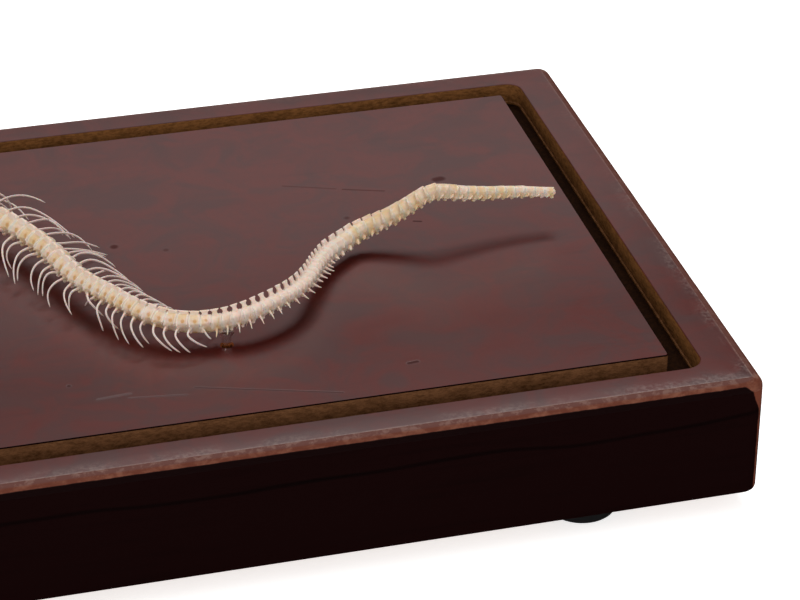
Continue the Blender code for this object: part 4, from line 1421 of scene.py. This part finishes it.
# the skull: places are millimetres ahead of the first vertebra, to the side and up
# braincase and snout: ahead, half-width, top and bottom
skullCase = (
    (-0.2, 0.8, 0.8, -0.9), (0.9, 2.2, 1.5, -1.3), (3.0, 2.75, 1.9, -1.5), (5.6, 2.4, 1.98, -1.5),
    (8.4, 2.3, 1.95, -1.4), (10.0, 2.1, 1.88, -1.2), (11.2, 1.35, 1.84, -1.0), (12.8, 1.15, 1.78, -0.9),
    (14.4, 1.35, 1.62, -1.0), (15.6, 1.8, 1.48, -1.1), (17.0, 1.6, 1.15, -1.2), (18.6, 1.25, 0.75, -1.3),
    (20.0, 0.75, 0.0, -1.4),
)
# bars on both sides: (places), (half-width, half-height) at start and at end
skullBars = {
    "upperJaw": (
        ((19.6, 1.0, -1.5), (18.4, 1.7, -1.8), (17, 2.4, -1.9), (15.6, 2.9, -2), (14.2, 3.3, -2.05),
         (12.8, 3.6, -2.1), (11.4, 3.75, -2.15), (10.2, 3.7, -2.2), (8.2, 3.1, -2.2)),
        (0.36, 0.40), (0.34, 0.22),
    ),
    "outerWing": (
        ((10.9, 3.6, -2.1), (9.6, 3.3, -2.0), (8.0, 2.9, -2.15), (6.4, 2.75, -2.3)),
        (0.42, 0.2), (0.3, 0.22),
    ),
    "palate": (
        ((17.4, 1, -1.35), (14.6, 1.2, -1.8), (11.8, 1.6, -2), (8.8, 2.1, -2.2), (5.4, 2.9, -2.4),
         (1.6, 3.7, -2.8), (-1.4, 4.1, -3.0)),
        (0.28, 0.26), (0.5, 0.2),
    ),
    "headLink": (
        ((6.4, 2.1, 1.1), (4.4, 2.5, 1.3), (1.4, 3.1, 1.4), (-0.4, 3.6, 1.25)),
        (0.42, 0.2), (0.4, 0.28),
    ),
    "jawLink": (
        ((-0.1, 3.5, 1.3), (-0.8, 3.8, 0.6), (-1.8, 4.3, -0.9), (-2.6, 4.7, -2.5), (-3, 4.9, -3.3)),
        (0.62, 0.3), (0.5, 0.42),
    ),
    "earBone": (((3.0, 2.3, -0.1), (1.2, 2.9, -0.3), (-1.2, 3.9, -0.6)), (0.12, 0.12), (0.1, 0.1)),
    "frontOfEye": (
        ((16.2, 1.2, 1.05), (15.9, 2.3, 0.65), (15.7, 2.75, -0.4), (15.5, 2.9, -1.8)),
        (0.5, 0.34), (0.32, 0.3),
    ),
    "rearOfEye": (
        ((11.0, 1.5, 1.7), (10.9, 2.6, 1.2), (10.7, 3.15, 0.2), (10.5, 3.4, -0.9)),
        (0.34, 0.3), (0.2, 0.18),
    ),
    "snoutRim": (((17.4, 1.0, 1.0), (18.6, 1.35, -0.2), (19.4, 0.9, -1.2)), (0.3, 0.3), (0.3, 0.3)),
    "vomer": (((19.0, 0.35, -1.5), (16.6, 0.5, -1.6), (14.6, 0.5, -1.4)), (0.26, 0.24), (0.2, 0.16)),
}
# rounded places on both sides: middle, radii and tilt
skullLumps = (
    ((3.0, 2.2, 0.1), (0.75, 1.3, 0.95), (0, 0)),
    ((16.4, 1.0, 1.08), (0.8, 1.5, 0.32), (12, 14)),
    ((18.3, 0.55, 0.75), (0.5, 1.3, 0.25), (25, 10)),
    ((12.8, 1.2, 1.62), (0.5, 1.9, 0.25), (0, -12)),
    ((1.2, 1.4, 1.3), (0.8, 0.7, 0.35), (0, 0)),
    ((-3.1, 4.9, -3.5), (0.5, 0.35, 0.3), (0, 0)),
)
lowerJaw = (
    (-4.3, 4.9, -4.5), (-3, 4.9, -4.35), (-0.4, 4.7, -4.3), (3, 4.3, -4.3), (6.4, 3.9, -4.5),
    (9.6, 3.6, -4.7), (11.2, 3.4, -4.8), (12.8, 3.1, -4.85), (14.4, 2.7, -4.9), (16, 2.2, -4.9),
    (17.6, 1.6, -4.85), (19, 0.9, -4.8),
)
# rows of teeth: the line they stand on, first and last place along it, how many, how long, and
# 1 for up or -1 for down
toothRows = {
    "upper": (skullBars["upperJaw"][0], 0.10, 0.82, 15, 1.0, -1),
    "palate": (skullBars["palate"][0], 0.05, 0.72, 20, 0.7, -1),
    "lower": (lowerJaw, 0.60, 0.97, 16, 0.9, 1),
}
skullFineness = 1.25


def headFrame():
    middle, left, back, up = line.frame(jointPlaces[0] + 0.3)
    return np.array(Matrix((left, back, up)).transposed()), np.array(middle)


def inHead(place, side=1):
    ahead, across, above = place
    return Vector((across * side, -ahead, above))


def growBar(bm, places, start, end, side):
    stops = []
    for k, place in enumerate(places):
        t = k / (len(places) - 1)
        stops.append((inHead(place, side), lerp(start[0], end[0], t), lerp(start[1], end[1], t)))
    bar(bm, stops)


def growTeeth(gathered, turn, middle, row, side):
    jaw, first, last, count, length, way = row
    knots = np.array([inHead(place, side) for place in jaw])
    places = placesAlong(knots, 1)
    for k in range(count):
        at = lerp(first, last, k / (count - 1)) * places[-1]
        root = np.array([np.interp(at, places, knots[:, c]) for c in range(3)])
        lean = np.array((0, 0.42, 0)) * length
        tall = np.array((0, 0, way)) * length
        path = np.array([root + tall * (0.15 + 0.95 * t) + lean * t * t for t in np.linspace(0, 1, 6)])
        radii = np.array((0.15, 0.15, 0.13, 0.10, 0.06, 0.015)) * (0.7 + 0.3 * length)
        points, faces = tube(path, radii, 6)
        gathered.add(points @ turn.T + middle, faces, bleach=1.0)


def skullSkin(bm):
    sections = []
    for ahead, wide, top, bottom in skullCase:
        high = top - bottom
        half = (
            (0, top), (wide * 0.5, top - high * 0.03), (wide * 0.86, top - high * 0.22),
            (wide, top - high * 0.5), (wide * 0.8, bottom + high * 0.2), (wide * 0.4, bottom + high * 0.04),
            (0, bottom),
        )
        sections.append((-ahead, half))
    loft(bm, sections)
    for side in (1, -1):
        for places, start, end in skullBars.values():
            growBar(bm, places, start, end, side)
        for place, radii, (nod, roll) in skullLumps:
            lump(bm, inHead(place, side), radii, (nod, side * roll, 0))
    lump(bm, inHead((-0.5, 0, -0.35)), (0.5, 0.5, 0.4))
    lump(bm, inHead((20.0, 0, -1.35)), (1.0, 0.55, 0.4))
    bar(bm, [(inHead((19.9, 0, -1.0)), 0.25, 0.25), (inHead((18.6, 0, 0.9)), 0.3, 0.2)])
    blade(bm, [(-8.2, 1.7), (-7.6, 1.88), (-4.0, 1.94), (-1.2, 1.65), (-0.8, 1.2)], 0.2, 0.5)
    blade(bm, [(-9.5, -1.2), (-8.5, -1.75), (-4.5, -1.8), (-2.0, -1.4)], 0.2, 0.4)


def lowerJawSkin(bm, side):
    stops = []
    for k, place in enumerate(lowerJaw):
        t = k / (len(lowerJaw) - 1)
        tall = 0.30 + 0.42 * ease(0.1, 0.35, t) - 0.26 * ease(0.4, 0.75, t) - 0.12 * ease(0.85, 1.0, t)
        stops.append((inHead(place, side), 0.32, tall))
    bar(bm, stops, 10)
    # the low crest behind the teeth
    for ahead, across, tall in ((1.8, 4.5, 0.5), (3.4, 4.3, 0.75), (5.2, 4.05, 0.45)):
        lump(bm, inHead((ahead, across, -4.05 + tall * 0.35), side), (0.16, 0.95, tall * 0.55))
    lump(bm, inHead((-3.0, 4.9, -4.15), side), (0.42, 0.55, 0.28))
    lump(bm, inHead((-4.5, 4.85, -4.6), side), (0.28, 0.7, 0.26))


def makeSkull(kneading, material):
    turn, middle = headFrame()

    def finishSkin(bm, gathered):
        points, faces = kneading.fused(bm, skullFineness)
        # painted shade in the hollows and creases of the skull and jaws
        gathered.add(points @ turn.T + middle, faces, hollow=hollowness(points, faces), bleach=0.3)

    skull = Gathered()
    bm = bmesh.new()
    skullSkin(bm)
    finishSkin(bm, skull)
    for side in (1, -1):
        for row in ("upper", "palate"):
            growTeeth(skull, turn, middle, toothRows[row], side)
    finishPiece(skull.piece("skullBones", material), "bone", "skull")
    for side, name in ((1, "left"), (-1, "right")):
        jaw = Gathered()
        bm = bmesh.new()
        lowerJawSkin(bm, side)
        finishSkin(bm, jaw)
        growTeeth(jaw, turn, middle, toothRows["lower"], side)
        finishPiece(jaw.piece("lowerJaw_" + name, material), "bone", "mandible_" + name)
    report("skull")


makeSkull(kneading, boneMaterial)

# clear pegs and glue
peg = {
    "radius": 0.9,
    "cupRadius": 1.5,
    "cupHeight": 1.2,
    "wall": 0.28,
    "sides": 40,
    "glueRing": 0.8,
    "glueSpots": 9,
    "glueSizes": (0.26, 0.5),
    "glueBelow": 0.12,
    "glueSeed": 23,
    "colour": (0.95, 0.96, 0.95, 1.0),
    "glueColour": (0.93, 0.88, 0.78, 1.0),
}


def clearFinish(name, colour, roughness, size):
    finish = Finish(name, roughness, Transmission_Weight=1.0, IOR=1.22)
    haze = finish.noise(size, 3, 0.6)
    tint = finish.mix(haze.between(0.4, 0.7) * 0.5, colour, [c * 0.9 for c in colour[:3]] + [1])
    normal = finish.bump(haze, 0.05, 0.5)
    return finish.wear(Base_Color=tint, Roughness=roughness + haze * 0.12, Normal=normal)


def makePegs(kneading):
    clear = clearFinish("clearPeg", peg["colour"], 0.06, 1.2)
    setGlue = clearFinish("clearGlue", peg["glueColour"], 0.16, 0.8)
    chance = random.Random(peg["glueSeed"])
    for name in pegNames:
        low, high = (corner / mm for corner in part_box(name))
        centre = ((low.x + high.x) / 2, (low.y + high.y) / 2)
        thin, wide, top = peg["radius"], peg["cupRadius"], high.z
        cupFloor = top - peg["cupHeight"]
        profile = (
            (thin - 0.2, low.z), (thin, low.z + 0.2), (thin, cupFloor - 0.7), (thin + 0.12, cupFloor - 0.35),
            (wide - 0.15, cupFloor + 0.1), (wide, cupFloor + 0.35), (wide, top - 0.08), (wide - 0.08, top),
            (wide - peg["wall"], top - 0.05), (wide - peg["wall"] - 0.08, cupFloor + 0.75),
            (0.5, cupFloor + 0.5), (0.05, cupFloor + 0.45),
        )
        points, faces = lathe(profile, peg["sides"], centre)
        piece = meshPiece(name.replace("peg", "clearPeg"), points, faces, [clear], None, 50)
        finishPiece(piece, "peg", name)
        bm = bmesh.new()
        for k in range(peg["glueSpots"]):
            a = math.tau * k / peg["glueSpots"] + chance.uniform(-0.3, 0.3)
            size = chance.uniform(*peg["glueSizes"])
            at = (math.cos(a) * peg["glueRing"], math.sin(a) * peg["glueRing"], top - peg["glueBelow"])
            lump(bm, at, (size * 0.8, size * 0.8, size * 0.7))
        points, faces = kneading.fused(bm, 1.2)
        gathered = Gathered()
        gathered.add(points + np.array((*centre, 0)), faces)
        finishPiece(gathered.piece(name.replace("peg", "glue"), setGlue), "peg")
    report("pegs and glue")


makePegs(kneading)
kneading.close()
